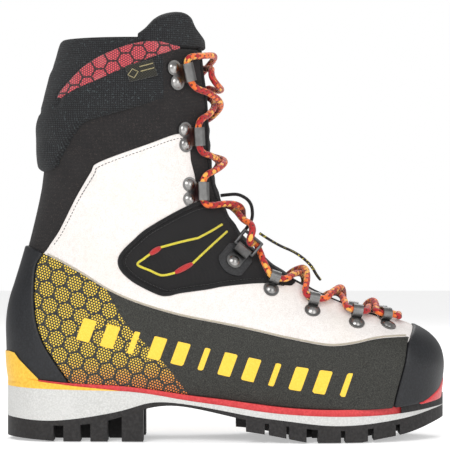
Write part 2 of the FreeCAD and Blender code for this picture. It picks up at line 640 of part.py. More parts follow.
def hardware():
    """All hooks, loops and ankle locks, with their rivets and the holes these need."""
    made, holes, lower_rivets, cuff_rivets, patches = {}, [], [], [], []
    for name, side in SIDES.items():
        for k, x, z, dx, dz in HOOKS:
            place = frame_at(side, x, z, dx, dz)
            hook = hook_body()
            hook.Placement = place
            for y in (-5.2, 5.2):
                cuff_rivets.append(rivet(place, 0, y, stand + plate_wall))
                holes.append(rivet_hole(place, 0, y, leather_wall + 1, 9))
                hook = hook.cut(holes[-1])
            made["hook_%d_%s" % (k, name)] = hook
        for k, x, z, dx, dz in LOOPS_LOW:
            place = frame_at(side, x, z, dx, dz)
            loop = loop_body()
            loop.Placement = place
            lower_rivets.append(rivet(place, 0, 0, stand + plate_wall))
            holes.append(rivet_hole(place, 0, 0, leather_wall + 1, 9))
            made["lace_loop_%d_%s" % (k, name)] = loop.cut(holes[-1])
        place, patch, strap, ring = lock_pieces(side)
        lower_rivets.append(rivet(place, 0, 0, stand + lock_pad + plate_wall))
        holes.append(rivet_hole(place, 0, 0, leather_wall + 1, 9))
        patches.append(patch.cut(holes[-1]))
        made["ankle_lock_strap_" + name] = strap.cut(holes[-1])
        made["ankle_lock_ring_" + name] = ring
    made["ankle_lock_patches"] = Part.makeCompound(patches)
    made["lace_loop_rivets"] = Part.makeCompound(lower_rivets)
    made["hook_rivets"] = Part.makeCompound(cuff_rivets)
    return made, Part.makeCompound(holes)


# ---------------------------------------------------------------- lace
lace_over = 3.3            # middle of the lower strand above the leather where two cross
lace_cross = lace_over + lace_diameter + 0.8
FLEX_LACE = (15.5, 30.5)   # degrees round the ankle pivot where the lace bends with the cuff


def local(side, spec, x, y, z):
    """A point given in a hardware frame."""
    return frame_at(side, *spec).multVec(V(x, y, z))


def foot(side, spec):
    """The surface place (v, angle) under a lace channel."""
    target = local(side, spec, bend_at, 0, 0)
    v, angle = spot(side, spec[0] * grade_x, spec[1] * grade_z)
    step = 0.4
    while step > 0.002:
        tries = [(v + a * step, angle + b * step * 0.3) for a, b in ((0, 0), (1, 0), (-1, 0), (0, 1), (0, -1))]
        tries = [(min(a, len(ROWS) - 1.0), b) for a, b in tries]
        best = min(tries, key=lambda place: (skin(*place) - target).Length)
        if best == (v, angle):
            step /= 2
        v, angle = best
    return v, angle


def on_skin(v, angle, lift):
    return skin(v, angle) + skin_normal(v, angle) * lift


def channel(side, spec, reach):
    """Three points through a hook or loop, from its toe end (or lower end) to the other."""
    way = -side
    return [local(side, spec, bend_at, way * share * reach, LIFT) for share in (-1.0, 0.0, 1.0)]


def beneath(point, angle):
    """The loop number whose leather at that angle is nearest the point, seen from the side."""
    low, high = 2.5, len(ROWS) - 1.2
    for _ in range(36):
        a, b = low + (high - low) * 0.382, low + (high - low) * 0.618
        gap_a, gap_b = ((skin(v, angle).x - point.x) ** 2 + (skin(v, angle).z - point.z) ** 2 for v in (a, b))
        if gap_a < gap_b:
            high = b
        else:
            low = a
    return (low + high) / 2


def crossing(side, leaving, entering, lift, spread=0.42, first_lift=0.0):
    """The lace from one side over the tongue to the other, given the runs at both ends."""
    start, end = leaving[-1], entering[0]
    made = []
    turn = spread if side < 0 else -spread
    for share, angle, height in ((0.27, math.pi - turn, 0.42), (0.5, math.pi, 1.0), (0.73, math.pi + turn, 0.42)):
        v = beneath(start + (end - start) * share, angle)
        away = lace_over + 0.5 + (lift - lace_over - 0.5) * height
        made.append(on_skin(v, angle, away if made else max(away, first_lift)))
    return [eased(leaving[-2], start, made[0])] + made + [eased(entering[1], end, made[-1])]


def eased(inside, end, onward):
    """A point that rounds the turn where the lace leaves a hook or loop."""
    out = (end - inside).normalize()
    away = (onward - end).normalize()
    return end + out * 3.4 + away * 4.2


def ring_turn(side):
    """The lace round the far bar of the ankle ring: under it, up through the ring, and over it."""
    far_x = bar_at + math.sqrt(ring_reach ** 2 - ring_rise ** 2)
    far_z = bar_height + ring_rise
    turn_radius = 5.0
    made = []
    for k, degrees in enumerate((285, 255, 225, 195, 165, 135, 105, 75)):
        turn = math.radians(degrees)
        y = -side * (7.0 * k / 7 - 3.5)
        made.append(local(side, LOCK, far_x + turn_radius * math.cos(turn), y, far_z + turn_radius * math.sin(turn)))
    return made


def lace_half(side, raised):
    """Half the lace from the middle at the toe to the top hook, in points."""
    lift = lace_cross if raised else lace_over
    hooks = {k: (x, z, dx, dz) for k, x, z, dx, dz in HOOKS}
    loops = {k: (x, z, dx, dz) for k, x, z, dx, dz in LOOPS_LOW}
    here = side
    run = channel(here, loops[4], 3.6)
    toe = run[0] + V(7.5, 0, -1)
    points = [on_skin(beneath(toe, math.pi), math.pi, lace_over + 1.3)]
    turn = 0.3 if here < 0 else -0.3
    points += [on_skin(beneath(toe, math.pi - turn), math.pi - turn, lace_over + 1.5)]
    points += [eased(run[1], run[0], points[-1])]
    for k in (4, 3, 2, 1):
        if k < 4:
            onward = channel(-here, loops[k], 3.6)
            points += crossing(here, run, onward, lift, 0.26 if k == 3 else 0.42)
            here = -here
            run = onward
        points += run
    points += [over(here, 24.5, 122.0, lace_over + 2.0), over(here, 21.5, 131.0, lace_over + 1.0)]
    run = ring_turn(here)
    points += run
    for k in (3, 2, 1):
        onward = channel(-here, hooks[k], 6.7)
        points += crossing(here, run, onward, lift, 0.34 if k == 3 else 0.42, 7.5 if k == 3 else 0.0)
        here = -here
        run = onward
        points += run
    return here, points


def lace_end(side, raised, leaving):
    """From the top hook to the knot at the front, and down the inner side to the tip."""
    top = beneath(V(-14 * grade_x, 0, 270 * grade_z), math.pi)
    lift = 8.6 if raised else 3.4
    if side < 0:
        points = [on_skin(top + 0.05, math.pi - 0.5, 5.0), on_skin(top + 0.12, math.pi, lift)]
        points += [on_skin(top - 0.2, math.pi + 0.55, 10.0)]
        drop = 9.0
    else:
        points = [on_skin(top - 0.25, math.pi + 0.5, 4.5), on_skin(top - 0.32, math.pi, lift)]
        for dv, turn, away in ((-0.42, -0.24, 1.2), (-0.68, -0.34, 2.8), (-0.95, -0.2, 4.2), (-1.05, 0.05, 5.4)):
            points.append(on_skin(top + dv, math.pi + turn, lift + away))
        points.append(on_skin(top - 1.0, math.pi + 0.5, 14.0))
        drop = 0.0
    hang = [(-26, 252, 15.5), (-29, 232, 14.5), (-30.5, 208, 14.0), (-31, 184, 13.0),
            (-30, 156, 10.5), (-29, 128, 8.0), (-28, 104, 6.5), (-27, 86, 6.5)]
    for x, z, away in hang:
        points.append(over(1, x - drop, z, away))
    return [eased(leaving[-2], leaving[-1], points[0])] + points


def tube(points, radius, first=None):
    """A smooth curve through the points, for a round cord."""
    lengths = [0.0]
    for a, b in zip(points, points[1:]):
        lengths.append(lengths[-1] + (b - a).Length)
    first = (points[1] - points[0]).normalize() if first is None else first
    last = (points[-1] - points[-2]).normalize()
    curve = Part.BSplineCurve()
    curve.interpolate(Points=points, Parameters=lengths, InitialTangent=first, FinalTangent=last, Scale=False)
    return curve, radius


def route(curve, low, high):
    """Places along a smooth curve, closer together where it turns more."""
    places = [low]
    while places[-1] < high:
        here = places[-1]
        bend = max(curve.curvature(min(here + k, high)) for k in (0.5, 2.0, 4.0))
        places.append(here + min(max(0.8 / max(bend, 1e-4), 3.0), 12.0))
    share = (high - low) / (places[-1] - low)
    return [curve.value(low + (place - low) * share) for place in places]


def runs_and_arcs(points):
    """Straight runs through the points, joined by tangent arcs."""
    edges, start, tightest = [], points[0], FAR
    for before, corner, after in zip(points, points[1:], points[2:]):
        inward, outward = (before - corner), (after - corner)
        reach = 0.45 * min(inward.Length, outward.Length)
        turn = math.pi - inward.getAngle(outward)
        if turn < 0.004:
            continue
        inward.normalize()
        outward.normalize()
        radius = reach / math.tan(turn / 2)
        tightest = min(tightest, radius)
        middle = (inward + outward).normalize()
        depth = radius / math.cos(turn / 2) - radius
        a, b = corner + inward * reach, corner + outward * reach
        edges.append(Part.LineSegment(start, a).toShape())
        edges.append(Part.Arc(a, corner + middle * depth, b).toShape())
        start = b
    edges.append(Part.LineSegment(start, points[-1]).toShape())
    return edges, tightest


def swept(curve, radius, low, high):
    """The cord between two parameters of its curve, as a solid."""
    points = route(curve, low, high)
    edges, tightest = runs_and_arcs(points)
    path = Part.Wire(edges)
    section = Part.Wire([Part.makeCircle(radius, points[0], points[1] - points[0])])
    cord = path.makePipeShell([section], True, False)
    expected = math.pi * radius ** 2 * path.Length
    print("cord: %3d points, tightest arc %.1f mm, volume / expected %.4f" % (len(points), tightest, cord.Volume / expected))
    return cord


def turn_about_pivot(point):
    return math.degrees(math.atan2(point.z - pivot[1], point.x - pivot[0]))


def lace_cuts(curve, start):
    """Curve parameters where the lace enters and leaves the flex zone."""
    low, high = curve.FirstParameter, curve.LastParameter
    steps = 4000
    found = []
    for k in range(steps + 1):
        u = low + (high - low) * k / steps
        if u < start:
            continue
        if len(found) < 2 and turn_about_pivot(curve.value(u)) > FLEX_LACE[len(found)]:
            found.append(u)
    return found


def lace_pieces():
    """The lace in its lower, flexing and upper spans, and its two tips."""
    made = {"lace_lower": [], "lace_flex": [], "lace_cuff": [], "lace_tips": []}
    length = 0.0
    for side in (-1, 1):
        here, points = lace_half(side, side < 0)
        points += lace_end(here, side < 0, points)
        curve, radius = tube(points, lace_radius, V(0, side, 0))
        length += curve.length()
        after_lock = curve.parameter(over(here, 20, 146, 8))
        a, b = lace_cuts(curve, after_lock)
        low, high = curve.FirstParameter, curve.LastParameter
        tip = high - (high - low) * 22.0 / curve.length()
        made["lace_lower"].append(swept(curve, radius, low, a - 0.6))
        made["lace_flex"].append(swept(curve, radius, a + 0.6, b - 0.6))
        made["lace_cuff"].append(swept(curve, radius, b + 0.6, tip))
        made["lace_tips"].append(swept(curve, radius + 0.3, tip, high))
    print("lace length %.0f mm" % length)
    return {name: Part.makeCompound(shapes) for name, shapes in made.items()}


def front(v, lift):
    point = on_skin(v, math.pi, lift)
    return (point.x, point.z)


def keeper_pieces():
    """The strap that holds the crossed lace on the tongue, and its thin pull cord."""
    place = spot(-1, 20 * grade_x, 146 * grade_z)[0]
    hooks = foot(-1, HOOKS[2][1:])[0]
    middle = (place + hooks) / 2
    reach = ((-0.62, -2.6), (-0.45, 3.0), (-0.2, 9.6), (0.0, lace_cross + lace_radius + 0.5),
             (0.2, 9.6), (0.45, 3.0), (0.62, -2.6))
    inner = [front(middle + dv, lift) for dv, lift in reach]
    outer = [front(middle + dv, lift + 1.3) for dv, lift in reversed(reach)]
    edges = [spline_edge(inner), line_edge(inner[-1], outer[0]), spline_edge(outer), line_edge(outer[-1], inner[0])]
    made = {"keeper_strap": extruded(edges, -5, 5)}
    height = lace_cross + lace_radius + 1.6
    points = []
    for v, shift in ((8.0, -0.07), (7.5, -0.09), (7.0, -0.1), (6.55, -0.1), (6.33, -0.085), (6.2, 0.0),
                     (6.33, 0.085), (6.55, 0.1), (7.0, 0.1), (7.5, 0.09), (8.0, 0.07)):
        points.append(on_skin(v, math.pi + shift, height))
    curve, radius = tube(points, 1.0)
    made["pull_cord"] = swept(curve, radius, curve.FirstParameter, curve.LastParameter)
    return made


# ---------------------------------------------------------------- all pieces
metal, rivet_holes = hardware()
leather = leather_pieces()
for name in leather:
    if name.startswith(("leather_upper", "quarter_top", "cuff_fabric")):
        leather[name] = leather[name].cut(rivet_holes)
for pieces in (sole_pieces(), lower_pieces(), leather, tongue_pieces(), collar_pieces(),
               metal, lace_pieces(), keeper_pieces()):
    for name, shape in pieces.items():
        save(name, shape)
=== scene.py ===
"""Mountaineering boot: the visual model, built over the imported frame.

The soft upper is one surface, worked out from the pattern of loops that the CAD source
uses. Every panel is a piece of that surface at its own depth. Lengths are in
millimetres until a mesh is made, and then in metres.
"""

import bpy
import math
import numpy as np
import random
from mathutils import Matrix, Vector


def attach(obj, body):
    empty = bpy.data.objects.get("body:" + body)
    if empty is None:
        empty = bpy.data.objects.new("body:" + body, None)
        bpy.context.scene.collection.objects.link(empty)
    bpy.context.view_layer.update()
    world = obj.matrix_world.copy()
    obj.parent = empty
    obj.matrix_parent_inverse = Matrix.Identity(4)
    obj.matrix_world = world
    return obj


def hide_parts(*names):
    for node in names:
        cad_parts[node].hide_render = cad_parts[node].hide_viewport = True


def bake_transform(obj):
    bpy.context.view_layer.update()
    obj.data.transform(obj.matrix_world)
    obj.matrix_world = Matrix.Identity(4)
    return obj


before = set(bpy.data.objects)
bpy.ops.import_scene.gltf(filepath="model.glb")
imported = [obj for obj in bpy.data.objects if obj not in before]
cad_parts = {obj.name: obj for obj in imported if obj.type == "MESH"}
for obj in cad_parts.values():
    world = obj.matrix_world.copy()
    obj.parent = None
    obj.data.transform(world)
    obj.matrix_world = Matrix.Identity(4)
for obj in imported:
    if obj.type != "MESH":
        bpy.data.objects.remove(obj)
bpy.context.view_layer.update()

MM = 0.001
TAU = 2 * math.pi
random.seed(7)

# ---------------------------------------------------------------- the pattern of the upper
# back x, z; front x, z; half widths at heel, waist and ball, outer side then inner side;
# shift of the toe to the inner side.
LOOPS = [
    (-151, 30, 149.0, 10, 34.0, 38.0, 49.0, 34.0, 31.0, 46.5, 9),
    (-154, 50, 153.0, 38, 35.0, 39.0, 50.0, 35.0, 33.0, 47.5, 9),
    (-155, 70, 154.0, 56, 35.0, 39.0, 50.0, 35.0, 34.0, 46.5, 8),
    (-155, 85, 148.5, 69, 34.5, 39.0, 46.0, 34.5, 35.0, 43.5, 6),
    (-153, 98, 134.0, 79, 34.0, 39.0, 39.5, 34.0, 36.0, 38.0, 3),
    (-149, 111, 106.0, 89, 32.5, 39.5, 33.5, 32.5, 37.0, 32.5, 0),
    (-145, 124, 72.0, 104, 31.0, 40.0, 31.5, 31.0, 38.5, 31.0, 0),
    (-141, 138, 43.0, 121, 29.5, 40.5, 30.5, 29.5, 39.5, 30.5, 0),
    (-137, 154, 19.0, 141, 29.0, 41.0, 31.0, 29.0, 40.0, 31.0, 0),
    (-133, 172, 1.0, 167, 30.0, 42.0, 32.5, 30.0, 41.0, 32.5, 0),
    (-130, 192, -7.0, 194, 31.0, 43.0, 34.0, 31.0, 42.0, 34.0, 0),
    (-127, 214, -9.0, 220, 32.0, 44.0, 35.0, 32.0, 43.0, 35.0, 0),
    (-124, 238, -11.0, 244, 33.0, 45.0, 36.0, 33.0, 44.0, 36.0, 0),
    (-120, 262, -14.0, 266, 33.5, 46.0, 36.5, 33.5, 45.0, 36.5, 0),
    (-116, 285, -16.0, 287, 34.0, 46.0, 37.0, 34.0, 45.0, 37.0, 0),
    (-114, 309, -17.0, 310, 34.0, 46.0, 37.0, 34.0, 45.0, 37.0, 0),
]
WIDTH_AT = (0.15, 0.5, 0.8)
BACK_ROUND = 2.6
FRONT_ROUND = 2.15
ROWS = np.array(LOOPS, dtype=float)
TOP_ROW = len(ROWS) - 1

LEATHER = 2.6
TONGUE = 6.0
LINING = 4.5
RAND = 2.0
THROAT_HALF = 16.0
TONGUE_HALF = 24.0


def rows_at(v):
    """The loops at heights v, on a smooth curve through the rows."""
    v = np.clip(v, 0, TOP_ROW)
    i = np.minimum(v.astype(int), TOP_ROW - 1)
    t = (v - i)[:, None]
    a, b, c, d = (ROWS[np.clip(i + k, 0, TOP_ROW)] for k in (-1, 0, 1, 2))
    bend = (2 * a - 5 * b + 4 * c - d) * t + (3 * b - a - 3 * c + d) * t * t
    return b + 0.5 * t * ((c - a) + bend)


def end_round(turn):
    turn = np.asarray(turn, dtype=float)
    power = np.where(turn > 0, BACK_ROUND, FRONT_ROUND)
    return np.maximum(0.0, 1 - np.abs(turn) ** power) ** (1 / power)


def skins(v, angle):
    """Points of the leather surface. Angle 0 is the heel, a quarter turn the outer side."""
    v, angle = np.atleast_1d(np.asarray(v, float)), np.atleast_1d(np.asarray(angle, float))
    row = rows_at(v)
    q = (1 - np.cos(angle)) / 2
    outer = np.sin(angle) >= 0
    widths = np.where(outer[:, None], row[:, 4:7], row[:, 7:10])
    total = np.zeros(len(q))
    for i, at in enumerate(WIDTH_AT):
        term = widths[:, i] / end_round(1 - 2 * at)
        for j, other in enumerate(WIDTH_AT):
            if j != i:
                term = term * (q - other) / (at - other)
        total += term
    half = total * end_round(1 - 2 * q)
    centre = row[:, 10] * np.maximum(0.0, 2 * q - 1) ** 2
    x = row[:, 0] + (row[:, 2] - row[:, 0]) * q
    z = row[:, 1] + (row[:, 3] - row[:, 1]) * q
    return np.stack([x, centre + np.where(outer, -1, 1) * half, z], axis=1)


def normals(v, angle):
    """Outward unit normals of the leather surface."""
    v, angle = np.atleast_1d(np.asarray(v, float)), np.atleast_1d(np.asarray(angle, float))
    step = 0.02
    up = skins(np.minimum(v + step, TOP_ROW), angle) - skins(np.maximum(v - step, 0), angle)
    along = skins(v, angle + step) - skins(v, angle - step)
    made = np.cross(along, up)
    return made / np.linalg.norm(made, axis=1)[:, None]


def raised(v, angle, lift):
    """Points at a lift above the leather surface."""
    return skins(v, angle) + normals(v, angle) * np.atleast_1d(lift)[:, None]


def spots(side, x, z):
    """The (v, angle) of the surface where it shows at x, z in the side view."""
    x, z = np.atleast_1d(np.asarray(x, float)), np.atleast_1d(np.asarray(z, float))
    low, high = np.zeros(len(x)), np.full(len(x), float(TOP_ROW))
    for _ in range(36):
        v = (low + high) / 2
        row = rows_at(v)
        share = (x - row[:, 0]) / (row[:, 2] - row[:, 0])
        under = row[:, 1] + (row[:, 3] - row[:, 1]) * share < z
        low, high = np.where(under, v, low), np.where(under, high, v)
    start, end = np.zeros(len(x)), np.full(len(x), math.pi)
    for _ in range(36):
        angle = (start + end) / 2
        short = skins(v, angle)[:, 0] < x
        start, end = np.where(short, angle, start), np.where(short, end, angle)
    return v, (angle if side < 0 else TAU - angle)


# ---------------------------------------------------------------- side outlines, x and z
FEATHER = [(-175, 45), (-134, 43), (-110, 40.6), (-78, 39), (-48, 35.6), (-23, 32), (-1, 29.5),
           (29, 25.6), (60, 23), (90, 22.8), (118, 24.2), (140, 27.5), (175, 34)]
RAND_LINE = [(-175, 150), (-127, 131), (-102, 118), (-84, 106.9), (-64, 97.9), (-34, 88.8), (-1, 82.1),
             (19.4, 77.8), (41, 72.8), (64, 68.3), (76, 67.2), (90, 68.7), (106, 71.8), (128, 72.7),
             (175, 73)]
TOE_CAP_LINE = [(140, 130), (136, 95), (132.3, 80.3), (128.8, 72.7), (126.7, 66.8), (124.6, 54.9),
                (117.6, 28), (114, 5)]
HEEL_RAND_LINE = [(-126, 150), (-129, 131), (-134, 120), (-134.1, 91), (-129, 70.8), (-118, 52.6), (-110, 41),
                  (-100, 25)]
PRINT_LINE = [(-100, 135), (-84, 107), (-68.8, 80.8), (-48.7, 60.7), (-27.6, 34.6), (-20, 20)]
WHITE = [(-24.8, 197), (-25.5, 206), (-28, 214.5), (-35, 215.3), (-54.3, 208.2), (-89.1, 195.4),
         (-94.5, 188.9),
         (-105.2, 171.1), (-117.2, 148), (-125.1, 136.1), (-129, 126), (-104, 114), (-84, 103), (-64, 94),
         (-34, 85), (-1, 78.2), (19.4, 74), (41.5, 69), (63.6, 64.4), (75.6, 63.4), (89.6, 64.8), (105.7, 68),
         (127, 68.8), (130, 72), (134, 80.3), (138, 95), (120, 120), (70, 140), (52, 122), (48, 110),
         (42.5, 108.9),
         (24.4, 111.4), (-0.7, 109.9), (-12.6, 107.9), (-31.6, 105.4), (-40.7, 103.4), (-47.7, 104.4),
         (-62.8, 111.9),
         (-71.8, 119.5), (-74.3, 126), (-71.8, 132), (-63.8, 140.1), (-53.4, 148.8), (-28.4, 163),
         (-23.2, 167),
         (-21.7, 182.7)]
FLEX = [(-74.3, 126), (-71.8, 132), (-63.8, 140.1), (-53.4, 148.8), (-28.4, 163), (-14, 168), (6, 172),
        (40, 165),
        (60, 140), (64, 118), (54.6, 110), (42.5, 108.9), (24.4, 111.4), (-0.7, 109.9), (-12.6, 107.9),
        (-31.6, 105.4), (-40.7, 103.4), (-47.7, 104.4), (-62.8, 111.9), (-71.8, 119.5)]
COLLAR = [(-175, 190), (-126, 190), (-116, 200), (-107, 214), (-100, 222.9), (-92.7, 225.8), (-58.8, 235.3),
          (-41, 241.6), (-30, 246)]
CRESCENT = [(-115.5, 240), (-105.2, 255), (-94.5, 265.5), (-80.2, 273), (-67.7, 277.6), (-54.3, 280.2),
            (-43.6, 280), (-30.5, 276.3), (-36, 274.2), (-53.4, 268), (-73.1, 259.5), (-94.5, 249.7)]
THROAT = [(114, 55), (114, 400), (-62, 400), (-62, 240), (-48, 150), (0, 108), (60, 78)]
FLAP_TOP = [(-62, 285.5), (-55, 290), (-47.6, 296.3), (-39, 300.3), (-29, 302), (-23, 299), (-19.6, 292),
            (-12, 283), (-8, 277)]
COLLAR_FRONT = -43.5
COLLAR_TOP = 283.0
FLAP_X = -62.0
FLAP_Z = 276.0
YELLOW_LINES = [[(-20, 142.2), (-32, 139.6), (-45.7, 136)],
                [(-53.2, 131.2), (-57.5, 128), (-61.8, 124), (-53, 119.8),
                (-44.8, 116.5), (-35.7, 118.2)], [(-23.6, 124.5), (-12, 135.5), (0, 146.5)],
                [(-20, 142.2), (-11, 147), (-3.6, 151.5)]]
RED_BLOCKS = [[(-53.2, 131.2), (-45.7, 136)], [(-35.7, 118.2), (-23.6, 124.5)]]


def curved(points, closed=False, step=2.0):
    """A smooth curve through the points of an outline."""
    points = np.array(points, float)
    n = len(points)
    made = []
    for i in range(n if closed else n - 1):
        if closed:
            a, b, c, d = (points[(i + k) % n] for k in (-1, 0, 1, 2))
        else:
            a, b, c, d = (points[min(max(i + k, 0), n - 1)] for k in (-1, 0, 1, 2))
        parts = max(2, int(np.linalg.norm(c - b) / step))
        for t in np.arange(parts) / parts:
            bend = (2 * a - 5 * b + 4 * c - d) * t + (3 * b - a - 3 * c + d) * t * t
            made.append(b + 0.5 * t * ((c - a) + bend))
    if not closed:
        made.append(points[-1])
    return np.array(made)


def distance_to(line, x, z):
    """Distance in the side view from each point to the nearest part of an open line."""
    best = np.full(len(x), 1e9)
    p = np.stack([x, z], axis=1)
    for a, b in zip(line[:-1], line[1:]):
        run = b - a
        t = np.clip(((p - a) @ run) / max(run @ run, 1e-9), 0, 1)
        best = np.minimum(best, np.hypot(*(p - a - t[:, None] * run).T))
    return best


def within(outline, x, z):
    """Distance inside a closed outline: positive inside and negative outside."""
    closed = np.vstack([outline, outline[:1]])
    inside = np.zeros(len(x), bool)
    for a, b in zip(closed[:-1], closed[1:]):
        if a[1] != b[1]:
            crosses = (a[1] > z) != (b[1] > z)
            at = a[0] + (z - a[1]) * (b[0] - a[0]) / (b[1] - a[1])
            inside ^= crosses & (x < at)
    return np.where(inside, 1, -1) * distance_to(closed, x, z)


def over_line(line, x, z):
    """Distance above a line that runs from back to front."""
    return np.where(z > np.interp(x, line[:, 0], line[:, 1]), 1, -1) * distance_to(line, x, z)


def ahead_of(line, x, z):
    """Distance in front of a line that runs down from the top."""
    order = line[::-1]
    return np.where(x > np.interp(z, order[:, 1], order[:, 0]), 1, -1) * distance_to(line, x, z)


feather, rand_line = curved(FEATHER), curved(RAND_LINE)
toe_line, heel_line, print_line = curved(TOE_CAP_LINE), curved(HEEL_RAND_LINE), curved(PRINT_LINE)
white_outline, flex_outline = curved(WHITE, True), curved(FLEX, True)
collar_line, crescent = curved(COLLAR), curved(CRESCENT, True)
throat_outline = np.array(THROAT, float)


def outside_throat(p, half=THROAT_HALF):
    """Distance from the opening for the tongue."""
    share = within(throat_outline, p[:, 0], p[:, 2])
    return np.maximum(np.abs(p[:, 1]) - half, -share)


def under_top(p, ahead=0.0):
    """Distance below the boot's top edge, which drops in front for the tongue's flap."""
    x, z = p[:, 0] - ahead, p[:, 2]
    back = np.minimum(COLLAR_TOP - z, 40.0)
    front = FLAP_Z - 0.3 - z
    return np.where(x < FLAP_X - 0.3, back, np.where(x > FLAP_X + 0.3, front, np.minimum(back, front)))


# ---------------------------------------------------------------- panels of the surface
ARC_ROWS, ARC_TURNS = 61, 361
arc_table = np.zeros((ARC_ROWS, ARC_TURNS))
for row_number, row_v in enumerate(np.linspace(0, TOP_ROW, ARC_ROWS)):
    ring = skins(np.full(ARC_TURNS, row_v), np.linspace(0, TAU, ARC_TURNS))
    lengths = np.concatenate([[0], np.cumsum(np.linalg.norm(np.diff(ring, axis=0), axis=1))])
    arc_table[row_number] = lengths - lengths[ARC_TURNS // 4]


def round_length(v, a):
    """Length round the loop from the outer side, so that a weave keeps one scale."""
    r = np.clip(v / TOP_ROW * (ARC_ROWS - 1), 0, ARC_ROWS - 1.001)
    c = np.clip((a % TAU) / TAU * (ARC_TURNS - 1), 0, ARC_TURNS - 1.001)
    i, j = r.astype(int), c.astype(int)
    s, t = r - i, c - j
    low = arc_table[i, j] * (1 - t) + arc_table[i, j + 1] * t
    high = arc_table[i + 1, j] * (1 - t) + arc_table[i + 1, j + 1] * t
    return low * (1 - s) + high * s


def split_at(points, faces, level):
    """Cuts every face where the third value of its corners passes the level."""
    points = list(points)
    cuts, made = {}, []
    for face in faces:
        gaps = [points[i][2] - level for i in face]
        if min(gaps) >= -1e-6 or max(gaps) <= 1e-6:
            made.append(face)
            continue
        high, low = [], []
        for k, i in enumerate(face):
            j = face[(k + 1) % len(face)]
            here, after = gaps[k], gaps[(k + 1) % len(face)]
            if here >= -1e-6:
                high.append(i)
            if here <= 1e-6:
                low.append(i)
            if (here > 1e-6 and after < -1e-6) or (here < -1e-6 and after > 1e-6):
                key = (min(i, j), max(i, j))
                if key not in cuts:
                    a, b = points[i], points[j]
                    turn = b[1] - a[1]
                    turn -= TAU * round(turn / TAU)
                    t = here / (here - after)
                    fresh = a + (b - a) * t
                    fresh[1] = a[1] + turn * t
                    fresh[2] = level
                    cuts[key] = len(points)
                    points.append(fresh)
                high.append(cuts[key])
                low.append(cuts[key])
        made += [f for f in (high, low) if len(f) > 2]
    return points, made


def build(name, verts, faces, material, uvs=None, sharp=50.0, collection=None):
    """A mesh object from points in millimetres."""
    mesh = bpy.data.meshes.new(name)
    mesh.from_pydata([tuple(float(c) * MM for c in v) for v in verts], [], [tuple(f) for f in faces])
    mesh.validate()
    if uvs is not None:
        layer = mesh.uv_layers.new(name="cloth")
        flat = np.zeros(len(mesh.loops) * 2)
        index = np.zeros(len(mesh.loops), dtype=np.int64)
        mesh.loops.foreach_get("vertex_index", index)
        flat[0::2], flat[1::2] = uvs[index, 0], uvs[index, 1]
        layer.data.foreach_set("uv", flat)
    mesh.update()
    mesh.shade_smooth()
    mesh.set_sharp_from_angle(angle=math.radians(sharp))
    obj = bpy.data.objects.new(name, mesh)
    bpy.context.scene.collection.objects.link(obj)
    obj.data.materials.append(material)
    return obj


def panel(name, material, inside, low, high, rows, turns=(0.0, TAU), edge=1.2, fine=1.0, floor=0.3, levels=(),
          field=None):
    """A panel of the upper, where inside(points) is positive, between two lifts."""
    dv = fine / 13
    whole = turns[1] - turns[0] > TAU - 1e-6
    nv = int(round((rows[1] - rows[0]) / dv)) + 1
    na = int(round((turns[1] - turns[0]) / (TAU / (440 / fine)))) + (0 if whole else 1)
    vs = np.linspace(rows[0], rows[1], nv)
    angles = turns[0] + (turns[1] - turns[0]) * np.arange(na) / (na if whole else na - 1)
    v, a = (g.ravel() for g in np.meshgrid(vs, angles, indexing="ij"))
    p = skins(v, a)
    d = inside(p)
    data = np.stack([v, a, d], axis=1)
    faces = []
    grid_d = d.reshape(nv, na)
    for i in range(nv - 1):
        for j in range(na if whole else na - 1):
            k = (j + 1) % na
            corners = (grid_d[i, j], grid_d[i, k], grid_d[i + 1, k], grid_d[i + 1, j])
            if max(corners) > 0:
                faces.append([i * na + j, i * na + k, (i + 1) * na + k, (i + 1) * na + j])
    for level in sorted({0.0, edge * 0.15, edge * 0.5, edge} | set(levels)):
        data, faces = split_at(data, faces, level)
    data = np.array(data)
    faces = [f for f in faces if sum(data[i][2] for i in f) > 0 and min(data[i][2] for i in f) > -1e-5]
    used = sorted({i for f in faces for i in f})
    place = {i: k for k, i in enumerate(used)}
    faces = [[place[i] for i in f] for f in faces]
    data = data[used]
    v, a, d = data[:, 0], data[:, 1], data[:, 2]
    p, n = skins(v, a), normals(v, a)
    share = np.clip(d / edge, 0, 1)
    crown = floor + (1 - floor) * np.sqrt(np.maximum(0, 1 - (1 - share) ** 2))
    bottom = low(p, v, a, d) if callable(low) else np.full(len(d), float(low))
    top = high(p, v, a, d) if callable(high) else np.full(len(d), float(high))
    top = bottom + (top - bottom) * crown
    outer, inner = p + n * top[:, None], p + n * bottom[:, None]
    count = len(data)
    edges = {}
    for f in faces:
        for i, j in zip(f, f[1:] + f[:1]):
            edges[(i, j)] = edges.get((i, j), 0) + 1
    rim = [(i, j) for (i, j) in edges if (j, i) not in edges]
    made = faces + [[i + count for i in reversed(f)] for f in faces]
    made += [[j, i, i + count, j + count] for i, j in rim]
    uv = np.stack([round_length(v, a), p[:, 2]], axis=1) * MM
    uvs = np.vstack([uv, uv])
    obj = build(name, np.vstack([outer, inner]), made, material, uvs)
    if field is not None:
        values = field(p, v, a, d)
        store = obj.data.attributes.new("print", "FLOAT", "POINT")
        both = np.concatenate([values, values]).astype(np.float32)
        if len(obj.data.vertices) == len(both):
            store.data.foreach_set("value", both)
    return obj


